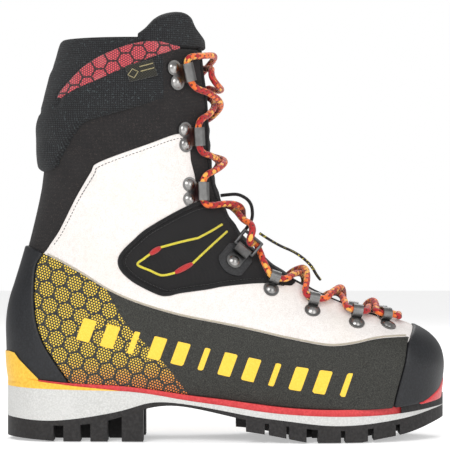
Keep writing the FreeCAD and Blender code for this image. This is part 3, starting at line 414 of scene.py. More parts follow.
# ---------------------------------------------------------------- tubes, bands and stitches
def tube(points, radius, sides=8, closed=False, flat=1.0, caps=True):
    """Vertices, faces and UVs of a round tube along points. flat squeezes it along its second axis."""
    p = np.array([tuple(q) for q in points], float)
    n = len(p)
    tangent = np.gradient(p, axis=0) if not closed else np.roll(p, -1, 0) - np.roll(p, 1, 0)
    tangent /= np.linalg.norm(tangent, axis=1)[:, None]
    side = np.cross(tangent[0], (0, 0, 1.0))
    if np.linalg.norm(side) < 1e-3:
        side = np.cross(tangent[0], (0, 1.0, 0))
    side /= np.linalg.norm(side)
    verts, uvs, length = [], [], 0.0
    radii = np.full(n, radius) if np.isscalar(radius) else np.array(radius)
    for k in range(n):
        side = side - tangent[k] * (side @ tangent[k])
        side /= np.linalg.norm(side)
        up = np.cross(tangent[k], side)
        if k:
            length += np.linalg.norm(p[k] - p[k - 1])
        for m in range(sides):
            turn = TAU * m / sides
            verts.append(p[k] + (side * math.cos(turn) + up * math.sin(turn) * flat) * radii[k])
            uvs.append((m / sides, length * MM))
    faces = []
    for k in range(n if closed else n - 1):
        for m in range(sides):
            a, b = k * sides + m, k * sides + (m + 1) % sides
            c, d = ((k + 1) % n) * sides + (m + 1) % sides, ((k + 1) % n) * sides + m
            faces.append([a, b, c, d])
    if caps and not closed:
        faces.append([m for m in range(sides)][::-1])
        faces.append([(n - 1) * sides + m for m in range(sides)])
    return verts, faces, uvs


def joined(parts):
    """Several (verts, faces, uvs) as one."""
    verts, faces, uvs = [], [], []
    for v, f, u in parts:
        shift = len(verts)
        verts += list(v)
        uvs += list(u)
        faces += [[i + shift for i in face] for face in f]
    return verts, faces, uvs


def tube_object(name, material, parts, sharp=60.0):
    verts, faces, uvs = joined(parts)
    return build(name, verts, faces, material, np.array(uvs), sharp)


def clipped(line, keep):
    """The longest run of a dense line that keep(x, z) allows."""
    ok = keep(line[:, 0], line[:, 1])
    best, start = (0, 0), None
    for k, good in enumerate(list(ok) + [False]):
        if good and start is None:
            start = k
        if not good and start is not None:
            if k - start > best[1] - best[0]:
                best = (start, k)
            start = None
    return line[best[0]:best[1]]


def stitches(points, outward, pitch=2.7, length=1.9, radius=0.32):
    """A row of short thread stitches along points that lie on the surface."""
    p = np.array(points, float)
    run = np.concatenate([[0], np.cumsum(np.linalg.norm(np.diff(p, axis=0), axis=1))])
    parts = []
    for start in np.arange(0.5, run[-1] - pitch, pitch):
        stops = start + length * np.array([0, 0.2, 0.5, 0.8, 1.0])
        q = np.stack([np.interp(stops, run, p[:, c]) for c in range(3)], axis=1)
        n = np.stack([np.interp(stops, run, outward[:, c]) for c in range(3)], axis=1)
        q += n * (radius * np.array([-0.8, 0.3, 0.6, 0.3, -0.8]))[:, None]
        parts.append(tube(q, radius * np.array([0.6, 1, 1, 1, 0.6]), sides=5))
    return parts


def stitch_line(side, line, lift, **sizes):
    dense = curved(line, step=1.2) if not isinstance(line, np.ndarray) else line
    if len(dense) < 4:
        return []
    v, a = spots(side, dense[:, 0], dense[:, 1])
    return stitches(raised(v, a, np.full(len(v), lift)), normals(v, a), **sizes)


# ---------------------------------------------------------------- materials
class Paint:
    """A procedural material: small helpers round its node tree."""

    def __init__(self, name, rough=0.6, metal=0.0, sheen=0.0, coat=0.0, specular=0.5):
        self.mat = bpy.data.materials.new(name)
        self.mat.use_nodes = True
        self.tree = self.mat.node_tree
        self.shader = self.tree.nodes["Principled BSDF"]
        self.shader.inputs["Roughness"].default_value = rough
        self.shader.inputs["Metallic"].default_value = metal
        self.shader.inputs["Sheen Weight"].default_value = sheen
        self.shader.inputs["Sheen Roughness"].default_value = 0.5
        self.shader.inputs["Coat Weight"].default_value = coat
        self.shader.inputs["Specular IOR Level"].default_value = specular

    def node(self, kind, settings=None, **inputs):
        made = self.tree.nodes.new(kind)
        for key, value in (settings or {}).items():
            setattr(made, key, value)
        for key, value in inputs.items():
            index = int(key[1:]) if key[0] == "i" and key[1:].isdigit() else key.replace("_", " ")
            if isinstance(value, bpy.types.NodeSocket):
                self.tree.links.new(value, made.inputs[index])
            else:
                made.inputs[index].default_value = value
        return made

    def coords(self, kind="Object", scale=(1, 1, 1), turn=(0, 0, 0)):
        source = self.node("ShaderNodeTexCoord").outputs[kind]
        return self.node("ShaderNodeMapping", Vector=source, Scale=scale, Rotation=turn).outputs[0]

    def math(self, operation, a, b=0.0, c=0.0, clamp=False):
        return self.node("ShaderNodeMath", {"operation": operation, "use_clamp": clamp}, i0=a, i1=b,
                         i2=c).outputs[0]

    def vector(self, operation, a, b=(0, 0, 0)):
        made = self.node("ShaderNodeVectorMath", {"operation": operation}, i0=a, i1=b)
        return made.outputs["Value"] if operation in ("LENGTH", "DOT_PRODUCT",
                                                      "DISTANCE") else made.outputs["Vector"]

    def noise(self, scale, detail=4.0, rough=0.55, where=None):
        where = where or self.coords()
        return self.node("ShaderNodeTexNoise", Vector=where, Scale=scale, Detail=detail,
                         Roughness=rough).outputs[0]

    def step(self, value, low, high):
        """0 below low and 1 above high, smooth between."""
        made = self.node("ShaderNodeMapRange", {"interpolation_type": "SMOOTHSTEP"}, Value=value)
        made.inputs["From Min"].default_value = low
        made.inputs["From Max"].default_value = high
        return made.outputs[0]

    def mix(self, share, a, b):
        made = self.node("ShaderNodeMix", {"data_type": "RGBA"})
        for socket, value in ((made.inputs[0], share), (made.inputs[6], a), (made.inputs[7], b)):
            if isinstance(value, bpy.types.NodeSocket):
                self.tree.links.new(value, socket)
            else:
                socket.default_value = value if isinstance(value, float) else (*value, 1.0)[:4]
        return made.outputs[2]

    def colour(self, value):
        self.tree.links.new(value, self.shader.inputs["Base Color"])

    def roughness(self, value, low, high):
        ranged = self.node("ShaderNodeMapRange", Value=value)
        ranged.inputs["To Min"].default_value = low
        ranged.inputs["To Max"].default_value = high
        self.tree.links.new(ranged.outputs[0], self.shader.inputs["Roughness"])

    def bump(self, heights):
        """Bumps from (height, strength, distance in metres), one after another."""
        last = None
        for height, strength, distance in heights:
            made = self.node("ShaderNodeBump", Height=height, Strength=strength, Distance=distance)
            if last is not None:
                self.tree.links.new(last, made.inputs["Normal"])
            last = made.outputs[0]
        self.tree.links.new(last, self.shader.inputs["Normal"])

    def lattice(self, flat, pitch):
        """Offset from the nearest point of a staggered lattice, in pitches."""
        size = (1.0, math.sqrt(3), 1.0)
        half = (0.5, math.sqrt(3) / 2, 0.0)
        p = self.vector("MULTIPLY", flat, (1 / pitch, 1 / pitch, 0))
        a = self.vector("SUBTRACT", self.vector("MODULO", self.vector("ADD", p,
                                                                      (400, 400 * size[1], 0)), size), half)
        shifted = self.vector("ADD", p, (400 + half[0], 400 * size[1] + half[1], 0))
        b = self.vector("SUBTRACT", self.vector("MODULO", shifted, size), half)
        nearer = self.math("LESS_THAN", self.vector("LENGTH", a), self.vector("LENGTH", b))
        made = self.node("ShaderNodeMix", {"data_type": "VECTOR"}, i0=nearer, i4=b, i5=a)
        return made.outputs[1]

    def hexagon(self, offset):
        """Distance towards the flat sides of a hexagon round the lattice point."""
        side = self.vector("ABSOLUTE", offset)
        slant = self.vector("DOT_PRODUCT", side, (0.5, math.sqrt(3) / 2, 0))
        apart = self.node("ShaderNodeSeparateXYZ", Vector=side).outputs[0]
        return self.math("MAXIMUM", slant, apart)


def weave(paint, kind="UV", scale=900.0, turn=0.0):
    """Over and under threads of a plain weave: a height from 0 to 1."""
    where = paint.coords(kind, turn=(0, 0, turn))
    x = paint.node("ShaderNodeSeparateXYZ", Vector=where)
    u = paint.math("SINE", paint.math("MULTIPLY", x.outputs[0], scale * math.pi))
    w = paint.math("SINE", paint.math("MULTIPLY", x.outputs[1], scale * math.pi))
    product = paint.math("MULTIPLY", u, w)
    return paint.math("MULTIPLY_ADD", product, 0.5, 0.5)


def fabric(name, dark, light, scale=900.0, rough=0.85, sheen=0.25, fleck=None, turn=0.785, depth=0.00035):
    paint = Paint(name, rough, sheen=sheen, specular=0.3)
    cloth = weave(paint, scale=scale, turn=turn)
    patchy = paint.noise(60.0, 5.0)
    colour = paint.mix(paint.step(cloth, 0.45, 0.95), dark, light)
    colour = paint.mix(paint.math("MULTIPLY", paint.step(patchy, 0.45, 0.75), 0.35), colour, dark)
    if fleck:
        spots_at = paint.step(paint.noise(fleck[1], 2.0, 0.6), 0.60, 0.68)
        colour = paint.mix(paint.math("MULTIPLY", spots_at, fleck[2]), colour, fleck[0])
    paint.colour(colour)
    paint.roughness(patchy, rough - 0.08, min(1.0, rough + 0.08))
    paint.bump([(patchy, 0.25, 0.0012), (cloth, 0.7, depth)])
    return paint.mat


def rubber(name, dark, light, rough=0.62, grain=1800.0, specular=0.4, coat=0.0):
    paint = Paint(name, rough, specular=specular, coat=coat)
    fine = paint.noise(grain, 3.0)
    broad = paint.noise(35.0, 5.0)
    colour = paint.mix(paint.step(fine, 0.35, 0.7), dark, light)
    colour = paint.mix(paint.math("MULTIPLY", paint.step(broad, 0.4, 0.7), 0.35), colour, light)
    paint.colour(colour)
    paint.roughness(broad, rough - 0.1, rough + 0.1)
    paint.bump([(broad, 0.12, 0.001), (fine, 0.35, 0.00025)])
    return paint.mat


def side_flat(paint, turn=0.0):
    """Side-view coordinates (x, z) as the first two, in metres."""
    where = paint.coords("Object")
    apart = paint.node("ShaderNodeSeparateXYZ", Vector=where)
    flat = paint.node("ShaderNodeCombineXYZ", X=apart.outputs[0], Y=apart.outputs[2]).outputs[0]
    return paint.node("ShaderNodeMapping", Vector=flat, Rotation=(0, 0, turn)).outputs[0], apart


def printed_rand():
    """Dark rubber with the yellow honeycomb of dots over the heel half."""
    paint = Paint("rand_rubber_print", 0.68, specular=0.35)
    fine = paint.noise(1500.0, 3.0)
    broad = paint.noise(40.0, 5.0)
    base = paint.mix(paint.step(fine, 0.35, 0.72), (0.014, 0.014, 0.012), (0.050, 0.050, 0.043))
    flat, apart = side_flat(paint, 0.32)
    dots = paint.lattice(flat, 0.00195)
    dot = paint.math("SUBTRACT", 1.0, paint.step(paint.vector("LENGTH", dots), 0.24, 0.36))
    cell = paint.hexagon(paint.lattice(flat, 0.0118))
    inside = paint.math("SUBTRACT", 1.0, paint.step(cell, 0.425, 0.45))
    reach = paint.node("ShaderNodeAttribute", {"attribute_name": "print"}).outputs["Fac"]
    shown = paint.math("MULTIPLY", paint.math("MULTIPLY", dot, inside), paint.step(reach, -0.4, 0.4))
    worn = paint.step(paint.noise(170.0, 3.0), 0.25, 0.42)
    shown = paint.math("MULTIPLY", shown, paint.math("MULTIPLY_ADD", worn, 0.35, 0.65))
    height = paint.step(apart.outputs[2], 0.036, 0.062)
    ink = paint.mix(height, (0.72, 0.22, 0.05), (0.86, 0.60, 0.06))
    paint.colour(paint.mix(shown, base, ink))
    paint.roughness(broad, 0.58, 0.78)
    paint.bump([(broad, 0.12, 0.001), (fine, 0.35, 0.0003), (shown, 0.5, 0.0002)])
    return paint.mat


def printed_crescent():
    """Red knit with a darker honeycomb, for the collar's insert."""
    paint = Paint("collar_print", 0.8, sheen=0.3, specular=0.3)
    flat, apart = side_flat(paint, 0.5)
    dots = paint.vector("LENGTH", paint.lattice(flat, 0.0017))
    dot = paint.math("SUBTRACT", 1.0, paint.step(dots, 0.3, 0.42))
    cell = paint.hexagon(paint.lattice(flat, 0.0105))
    line = paint.step(cell, 0.42, 0.455)
    broad = paint.noise(55.0, 4.0)
    base = paint.mix(dot, (0.11, 0.022, 0.03), (0.62, 0.075, 0.09))
    base = paint.mix(paint.math("MULTIPLY", paint.step(broad, 0.5, 0.7), 0.35), base, (0.50, 0.17, 0.17))
    paint.colour(paint.mix(line, base, (0.03, 0.012, 0.014)))
    paint.roughness(broad, 0.7, 0.9)
    paint.bump([(dot, 0.6, 0.0003), (line, 0.5, -0.0003)])
    return paint.mat


def suede():
    """Off-white suede: a fine nap, a little shading and small pores."""
    paint = Paint("leather_white", 0.82, sheen=0.35, specular=0.3)
    fine = paint.noise(1300.0, 4.0, 0.65)
    nap = paint.noise(260.0, 6.0, 0.6)
    broad = paint.noise(22.0, 5.0)
    base = paint.mix(paint.step(fine, 0.3, 0.7), (0.66, 0.615, 0.585), (0.82, 0.785, 0.765))
    base = paint.mix(paint.math("MULTIPLY", paint.step(nap, 0.42, 0.7), 0.35), base, (0.60, 0.56, 0.53))
    base = paint.mix(paint.math("MULTIPLY", paint.step(broad, 0.45, 0.7), 0.25), base, (0.70, 0.64, 0.56))
    paint.colour(base)
    paint.roughness(nap, 0.74, 0.92)
    paint.bump([(broad, 0.2, 0.0015), (nap, 0.35, 0.0005), (fine, 0.5, 0.0002)])
    return paint.mat


def metal(name, dark, light, rough=0.32, wear=0.5):
    paint = Paint(name, rough, metal=1.0)
    broad = paint.noise(140.0, 5.0)
    fine = paint.noise(2200.0, 2.0)
    edges = paint.node("ShaderNodeNewGeometry").outputs["Pointiness"]
    worn = paint.math("MULTIPLY", paint.step(edges, 0.52, 0.6), wear)
    base = paint.mix(paint.step(broad, 0.35, 0.7), dark, light)
    paint.colour(paint.mix(worn, base, (0.55, 0.54, 0.52)))
    paint.roughness(broad, rough - 0.08, rough + 0.16)
    paint.bump([(fine, 0.15, 0.0001)])
    return paint.mat


def braid(name, base, flecks, stripes=6.0, pitch=0.0125, rough=0.6):
    """A braided cord: strands crossing on its UVs, with coloured marker strands."""
    paint = Paint(name, rough, sheen=0.2, specular=0.4)
    where = paint.coords("UV")
    apart = paint.node("ShaderNodeSeparateXYZ", Vector=where)
    turn, run = apart.outputs[0], apart.outputs[1]
    along = paint.math("MULTIPLY", run, 1 / pitch)
    rise = paint.math("FRACT", paint.math("MULTIPLY", paint.math("ADD", turn, along), stripes))
    fall = paint.math("FRACT", paint.math("MULTIPLY", paint.math("SUBTRACT", turn, along), stripes))
    up = paint.math("SINE", paint.math("MULTIPLY", rise, math.pi))
    down = paint.math("SINE", paint.math("MULTIPLY", fall, math.pi))
    over = paint.math("MAXIMUM", up, down)
    strand = paint.math("FLOOR", paint.math("MULTIPLY", paint.math("ADD", turn, along), stripes))
    other = paint.math("FLOOR", paint.math("MULTIPLY", paint.math("SUBTRACT", turn, along), stripes))
    colour = base
    for (ink, share, seed) in flecks:
        pick = paint.node("ShaderNodeTexWhiteNoise", {"noise_dimensions": "2D"},
                          Vector=paint.node("ShaderNodeCombineXYZ", X=strand,
                                            Y=paint.math("ADD", other, seed)).outputs[0])
        colour = paint.mix(paint.math("GREATER_THAN", pick.outputs[0], 1 - share), colour, ink)
    shade = paint.step(over, 0.2, 0.8)
    paint.colour(paint.mix(shade, (0.05, 0.006, 0.004), colour))
    paint.bump([(over, 0.8, 0.0006)])
    return paint.mat


BLACK, SOFT_BLACK = (0.008, 0.008, 0.009), (0.045, 0.040, 0.040)
MATERIALS = {
    "leather_white": suede(),
    "fabric_black": fabric("fabric_black", BLACK, (0.034, 0.028, 0.026), 1500.0, sheen=0.06,
                           fleck=((0.10, 0.075, 0.065), 1400.0, 0.5)),
    "collar_fabric": fabric("collar_fabric", BLACK, (0.030, 0.032, 0.034), 950.0, sheen=0.06, depth=0.0005,
                            fleck=((0.10, 0.13, 0.135), 800.0, 0.4)),
    "collar_print": printed_crescent(),
    "tongue_fabric": fabric("tongue_fabric", BLACK, (0.030, 0.030, 0.032), 1100.0, sheen=0.06),
    "lining": fabric("lining", (0.012, 0.012, 0.013), (0.055, 0.055, 0.058), 800.0, rough=0.9, sheen=0.15),
    "flex_fabric": fabric("flex_fabric", BLACK, (0.026, 0.023, 0.022), 2000.0, sheen=0.05, turn=0.0),
    "piping": fabric("piping", (0.006, 0.006, 0.007), (0.03, 0.029, 0.029), 1800.0, sheen=0.05, depth=0.0004),
    "rand_rubber": printed_rand(),
    "toe_rubber": rubber("toe_rubber", (0.006, 0.0065, 0.008), (0.014, 0.015, 0.018), 0.5, 700.0),
    "rubber_black": rubber("rubber_black", (0.006, 0.005, 0.005), (0.020, 0.018, 0.018), 0.6, 500.0),
    "midsole_foam": rubber("midsole_foam", (0.50, 0.50, 0.485), (0.62, 0.62, 0.605), 0.5, 900.0),
    "welt_yellow": rubber("welt_yellow", (0.76, 0.42, 0.03), (0.86, 0.54, 0.06), 0.42, 600.0),
    "welt_red": rubber("welt_red", (0.52, 0.03, 0.035), (0.66, 0.06, 0.065), 0.45, 600.0),
    "patch_rubber": rubber("patch_rubber", (0.014, 0.014, 0.015), (0.036, 0.036, 0.038), 0.5, 900.0),
    "metal_dark": metal("metal_dark", (0.060, 0.060, 0.062), (0.15, 0.15, 0.15), 0.38, 0.25),
    "rivet_steel": metal("rivet_steel", (0.24, 0.235, 0.23), (0.40, 0.39, 0.38), 0.28),
    "thread_black": fabric("thread_black", (0.01, 0.01, 0.01), (0.05, 0.05, 0.05), 3000.0),
    "thread_cream": fabric("thread_cream", (0.50, 0.44, 0.34), (0.72, 0.66, 0.54), 3000.0),
    "thread_yellow": fabric("thread_yellow", (0.72, 0.60, 0.03), (0.93, 0.85, 0.12), 3000.0),
    "thread_red": fabric("thread_red", (0.45, 0.02, 0.02), (0.75, 0.05, 0.05), 3000.0),
    "print_yellow": rubber("print_yellow", (0.84, 0.53, 0.04), (0.90, 0.61, 0.07), 0.5, 900.0),
    "lace_cord": braid("lace_cord", (0.80, 0.15, 0.02),
                       [((0.90, 0.42, 0.07), 0.34, 17.0), ((0.40, 0.008, 0.010), 0.45, 3.0)], 3.0, 0.016),
    "lace_tip": rubber("lace_tip", (0.02, 0.02, 0.02), (0.06, 0.06, 0.06), 0.3, 500.0, coat=0.4),
    "pull_cord": braid("pull_cord", (0.012, 0.012, 0.012), [((0.75, 0.65, 0.10), 0.10, 5.0)], 4.0, 0.006),
    "board": fabric("board", (0.10, 0.085, 0.06), (0.22, 0.19, 0.15), 700.0),
    "footbed_foam": fabric("footbed_foam", (0.02, 0.02, 0.022), (0.10, 0.10, 0.11), 500.0, sheen=0.3),
    "tag_fabric": fabric("tag_fabric", (0.012, 0.012, 0.009), (0.045, 0.042, 0.03), 1100.0, turn=0.0),
    "tag_thread": fabric("tag_thread", (0.35, 0.29, 0.14), (0.62, 0.54, 0.32), 3000.0),
}


def bend(obj):
    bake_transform(obj)


def dress(obj, slot, *nodes, body=None):
    """Finishes a piece: the CAD nodes it stands for, and how it moves. The slot argument is not used."""
    if nodes:
        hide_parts(*nodes)
    if body:
        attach(obj, body)
    else:
        bend(obj)
    return obj


def soft_folds(p, v, a):
    """Small hollows and folds of the worn-in ankle, in millimetres."""
    x, z = p[:, 0], p[:, 2]
    folds = np.zeros(len(x))
    for (x0, z0, x1, z1, width, depth) in ((-124, 178, -92, 186, 6.0, 0.9), (-20, 150, -50, 138, 7.0, 0.6),
                                           (-118, 196, -98, 176, 6.0, 0.7)):
        line = np.array([(x0, z0), ((x0 + x1) / 2, (z0 + z1) / 2 + 3), (x1, z1)], float)
        gap = distance_to(curved(line), x, z)
        folds -= depth * np.exp(-(gap / width) ** 2)
    return folds


def shell_inside(p):
    return np.minimum.reduce([over_line(feather, p[:, 0], p[:, 2]), outside_throat(p), under_top(p)])


# black fabric under everything, from the sole to the top
shell = panel("upper_fabric", MATERIALS["fabric_black"], shell_inside, -LEATHER,
              lambda p, v, a, d: -0.15 + soft_folds(p, v, a), (0.0, 14.6), edge=2.2, floor=0.35)
dress(shell, "fabric_black", "cuff_fabric_lateral", "cuff_fabric_medial", "achilles_flex")


def white_inside(p, grow=0.0):
    x, z = p[:, 0], p[:, 2]
    share = np.minimum(within(white_outline, x, z) + grow, outside_throat(p, THROAT_HALF + 1.2))
    return np.minimum(share, -over_line(collar_line, x, z))


white = panel("suede_quarter_and_vamp", MATERIALS["leather_white"], white_inside, -0.4,
              lambda p, v, a, d: 0.95 + 0.25 * np.exp(-((d - 5) / 3) ** 2) + 0.7 * soft_folds(p, v, a),
              (1.2, 11.8), edge=1.1, floor=0.2)
dress(white, "leather_white", "leather_upper_lateral", "leather_upper_medial", "quarter_top_lateral",
      "quarter_top_medial")


def flex_inside(p):
    return np.minimum(within(flex_outline, p[:, 0], p[:, 2]), outside_throat(p, THROAT_HALF + 0.6))


flex = panel("flex_panel_fabric", MATERIALS["flex_fabric"], flex_inside, -0.3,
             lambda p, v, a, d: 0.55 + 0.75 * (1 - np.exp(-np.maximum(d - 2.2, 0) / 6.0)), (3.0, 9.6),
             edge=1.0)
dress(flex, "fabric_black", "flex_panel_lateral", "flex_panel_medial")

# ---------------------------------------------------------------- rubber rands
def rand_inside(p):
    x, z = p[:, 0], p[:, 2]
    return np.minimum.reduce([over_line(feather, x, z) + 0.5, -over_line(rand_line, x, z),
                              -ahead_of(toe_line, x, z),
                              ahead_of(heel_line, x, z)])


def heel_inside(p):
    x, z = p[:, 0], p[:, 2]
    return np.minimum.reduce([over_line(feather, x, z) + 0.5, -over_line(rand_line, x, z),
                              -ahead_of(heel_line, x, z) - 0.3])


def toe_inside(p):
    x, z = p[:, 0], p[:, 2]
    return np.minimum(over_line(feather, x, z) + 0.5, ahead_of(toe_line, x, z) - 0.3)


for side_name, turns in (("lateral", (0.02, math.pi - 0.02)), ("medial", (math.pi + 0.02, TAU - 0.02))):
    rand = panel("rand_" + side_name, MATERIALS["rand_rubber"], rand_inside, -0.2, RAND, (0.0, 8.4),
                 turns=turns,
                 edge=1.5, floor=0.12, field=lambda p, v, a, d: -ahead_of(print_line, p[:, 0], p[:, 2]))
    dress(rand, "rand_rubber", "side_rand_" + side_name, body="lower")
heel = panel("rand_heel", MATERIALS["toe_rubber"], heel_inside, -0.2, RAND + 0.1, (0.0, 8.4),
             turns=(-1.0, 1.0),
             edge=1.5, floor=0.12)
dress(heel, "rand_rubber", "heel_rand", body="lower")
toe = panel("rand_toe_cap", MATERIALS["toe_rubber"], toe_inside, -0.2, RAND + 0.25, (0.0, 5.5),
            turns=(math.pi - 1.4, math.pi + 1.4), edge=2.0, floor=0.12)
dress(toe, "rand_rubber", "toe_cap_rand", body="lower")

TOE_INSERT = curved([(175, 50), (155, 44), (149, 36), (140, 29), (133, 25), (150, 22), (175, 24)], True)
insert_toe = panel("toe_insert_red", MATERIALS["welt_red"],
                   lambda p: np.minimum(within(TOE_INSERT, p[:, 0], p[:, 2]),
                                        over_line(feather, p[:, 0], p[:, 2]) + 1.0),
                   RAND - 0.3, RAND + 0.75, (0.0, 3.0), turns=(math.pi - 1.0, math.pi + 1.0), edge=1.2,
                   fine=0.7)
dress(insert_toe, "welt_red", body="lower")

# slanted dashes printed along the rand
DASH_LINE = curved([(-106, 80), (-60, 68), (-10, 56.5), (40, 46), (84, 40)])
DASH_PITCH, DASH_WIDTH, DASH_HIGH, DASH_LEAN = 16.5, 9.0, 8.4, 0.34


def dash_inside(p):
    x, z = p[:, 0], p[:, 2]
    rise = z - np.interp(x, DASH_LINE[:, 0], DASH_LINE[:, 1])
    along = x - rise * DASH_LEAN
    number = np.floor((along + 106) / DASH_PITCH)
    centre = -106 + (number + 0.5) * DASH_PITCH
    half = np.where(number % 3 == 2, DASH_WIDTH * 0.22, DASH_WIDTH / 2)
    ends = np.minimum(along + 104, 86 - along)
    return np.minimum.reduce([half - np.abs(along - centre), DASH_HIGH - np.abs(rise), ends])


for side_name, turns in (("lateral", (0.3, math.pi - 0.5)), ("medial", (math.pi + 0.5, TAU - 0.3))):
    dashes = panel("rand_dashes_" + side_name, MATERIALS["print_yellow"], dash_inside, RAND - 0.1,
                   RAND + 0.22,
                   (0.4, 4.6), turns=turns, edge=0.35, floor=0.5, fine=0.7)
    dress(dashes, "rand_rubber", body="lower")

# ---------------------------------------------------------------- padded collar
collar_front = COLLAR_FRONT


def collar_lift(v):
    share = np.clip((v - 12.2) / 1.6, 0, 1)
    return 6.5 * (1 - 0.62 * share * share * (3 - 2 * share))


def collar_inside(p):
    x, z = p[:, 0], p[:, 2]
    return np.minimum.reduce([over_line(collar_line, x, z), collar_front - x, under_top(p, 4.0)])


SEAM = curved([(-175, 226), (-120, 232), (-111, 246), (-101, 259), (-90, 269), (-75, 276), (-60, 280),
               (-40, 282)])
CREASES = [(curved([(-117, 207), (-110, 213), (-103, 221), (-95, 226), (-84, 231)]), 3.5, 1.5),
           (curved([(-118, 240), (-108, 238), (-92, 243), (-74, 251), (-52, 258)]), 5.5, 0.9),
           (curved([(-118, 262), (-108, 268), (-96, 276)]), 3.0, 0.7)]


def collar_top(p, v, a, d):
    x, z = p[:, 0], p[:, 2]
    front = np.clip((collar_front - x) / 34.0, 0, 1)
    lift = collar_lift(v) * (0.45 + 0.55 * (1 - np.exp(-np.maximum(d, 0) / 4.0)))
    lift += 3.2 * np.exp(-((z - 220) / 15.0) ** 2) * np.clip((-84 - x) / 30.0, 0, 1)
    lift *= 0.12 + 0.88 * front * front * (3 - 2 * front)
    lift -= 1.0 * np.exp(-(distance_to(SEAM, x, z) / 1.3) ** 2)
    for line, width, depth in CREASES:
        lift -= depth * np.exp(-(distance_to(line, x, z) / width) ** 2)
    lift += 0.35 * np.sin(x * 0.21 + z * 0.13) * np.sin(z * 0.19 - x * 0.07)
    ring = np.clip((within(crescent, x, z) + 0.3) / 1.2, 0, 1)
    return lift - 1.2 * ring


collar = panel("collar_pad_knit", MATERIALS["collar_fabric"], collar_inside, -0.5, collar_top, (9.6, 14.6),
               turns=(-2.75, 2.75), edge=3.0, floor=0.1)
dress(collar, "collar_fabric", "collar_pad", body="cuff")


def insert_lift(p, v):
    """Height of the printed insert: the collar's without its seams."""
    front = np.clip((collar_front - p[:, 0]) / 34.0, 0, 1)
    return collar_lift(v) * 0.86 * (0.12 + 0.88 * front * front * (3 - 2 * front))


for side_name, turns in (("lateral", (0.3, 2.9)), ("medial", (TAU - 2.9, TAU - 0.3))):
    insert = panel("collar_insert_" + side_name, MATERIALS["collar_print"],
                   lambda p: within(crescent, p[:, 0], p[:, 2]), lambda p, v, a, d: insert_lift(p, v) - 1.8,
                   lambda p, v, a, d: insert_lift(p, v) + 0.35, (11.0, 14.4),
                   turns=turns, edge=1.4, floor=0.2)
    if side_name == "lateral":
        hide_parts("collar_inserts")
    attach(insert, "cuff")


# ---------------------------------------------------------------- tongue and its folding top
def tongue_span(p, half=TONGUE_HALF):
    x = p[:, 0]
    shift = np.where(x > 100, 3.5, 0.0)
    share = within(throat_outline, x - shift * 0, p[:, 2])
    return np.minimum(half - np.abs(p[:, 1]), share + 4.0)


def tongue_body(p):
    return np.minimum(tongue_span(p), FLAP_Z + 0.2 - p[:, 2])


def tongue_top_lift(p, v, a, d):
    ribs = 0.35 * np.cos(p[:, 2] * TAU / 11.0) * np.exp(-(p[:, 1] / 18.0) ** 2)
    side = np.clip((TONGUE_HALF - np.abs(p[:, 1])) / 8.0, 0, 1)
    return -LEATHER - 0.3 + ribs * side + 0.9 * side - 0.9


tongue = panel("tongue_padded", MATERIALS["tongue_fabric"], tongue_body, -LEATHER - 0.3 - TONGUE,
               tongue_top_lift,
               (1.5, 14.4), turns=(math.pi - 0.95, math.pi + 0.95), edge=4.0, floor=0.3)
dress(tongue, "tongue_fabric", "tongue_lower", "tongue_flex", "tongue_cuff")
flap_line = curved(FLAP_TOP)


def flap_inside(p):
    x, z = p[:, 0], p[:, 2]
    top = -over_line(flap_line, x, z)
    return np.minimum.reduce([top, (z - FLAP_Z - 0.3) * 2.0, (x - FLAP_X - 0.4) * 3.0])


flap = panel("tongue_top_padded", MATERIALS["collar_fabric"], flap_inside, -LEATHER - 0.3 - TONGUE + 0.4,
             lambda p, v, a, d: -1.3 + 1.7 * np.clip((p[:, 0] + 58) / 6, 0,
                                                     1) + 0.3 * np.sin(p[:, 0] * 0.3 + p[:, 2] * 0.2),
             (12.6, 14.95), turns=(math.pi - 1.6, math.pi + 1.6), edge=3.4, floor=0.25, fine=0.8)
dress(flap, "tongue_fabric", "tongue_top", body="tongue_flap")


# ---------------------------------------------------------------- lining and footbed
LINER_DEPTH = LEATHER + 0.3 + 1.5 + 0.3


def lining_inside(p):
    return np.minimum.reduce([over_line(feather, p[:, 0], p[:, 2]) - 2.6,
                              outside_throat(p, TONGUE_HALF + 0.3), under_top(p)])


lining = panel("lining_sock", MATERIALS["lining"], lining_inside, -LINER_DEPTH - LINING,
               lambda p, v, a, d: np.where(p[:, 2] > 215, -LEATHER - 0.2, -LINER_DEPTH), (0.1, 14.6),
               edge=2.5, floor=0.4,
               fine=1.3)
dress(lining, "lining", "liner_lower", "liner_flex", "liner_cuff")


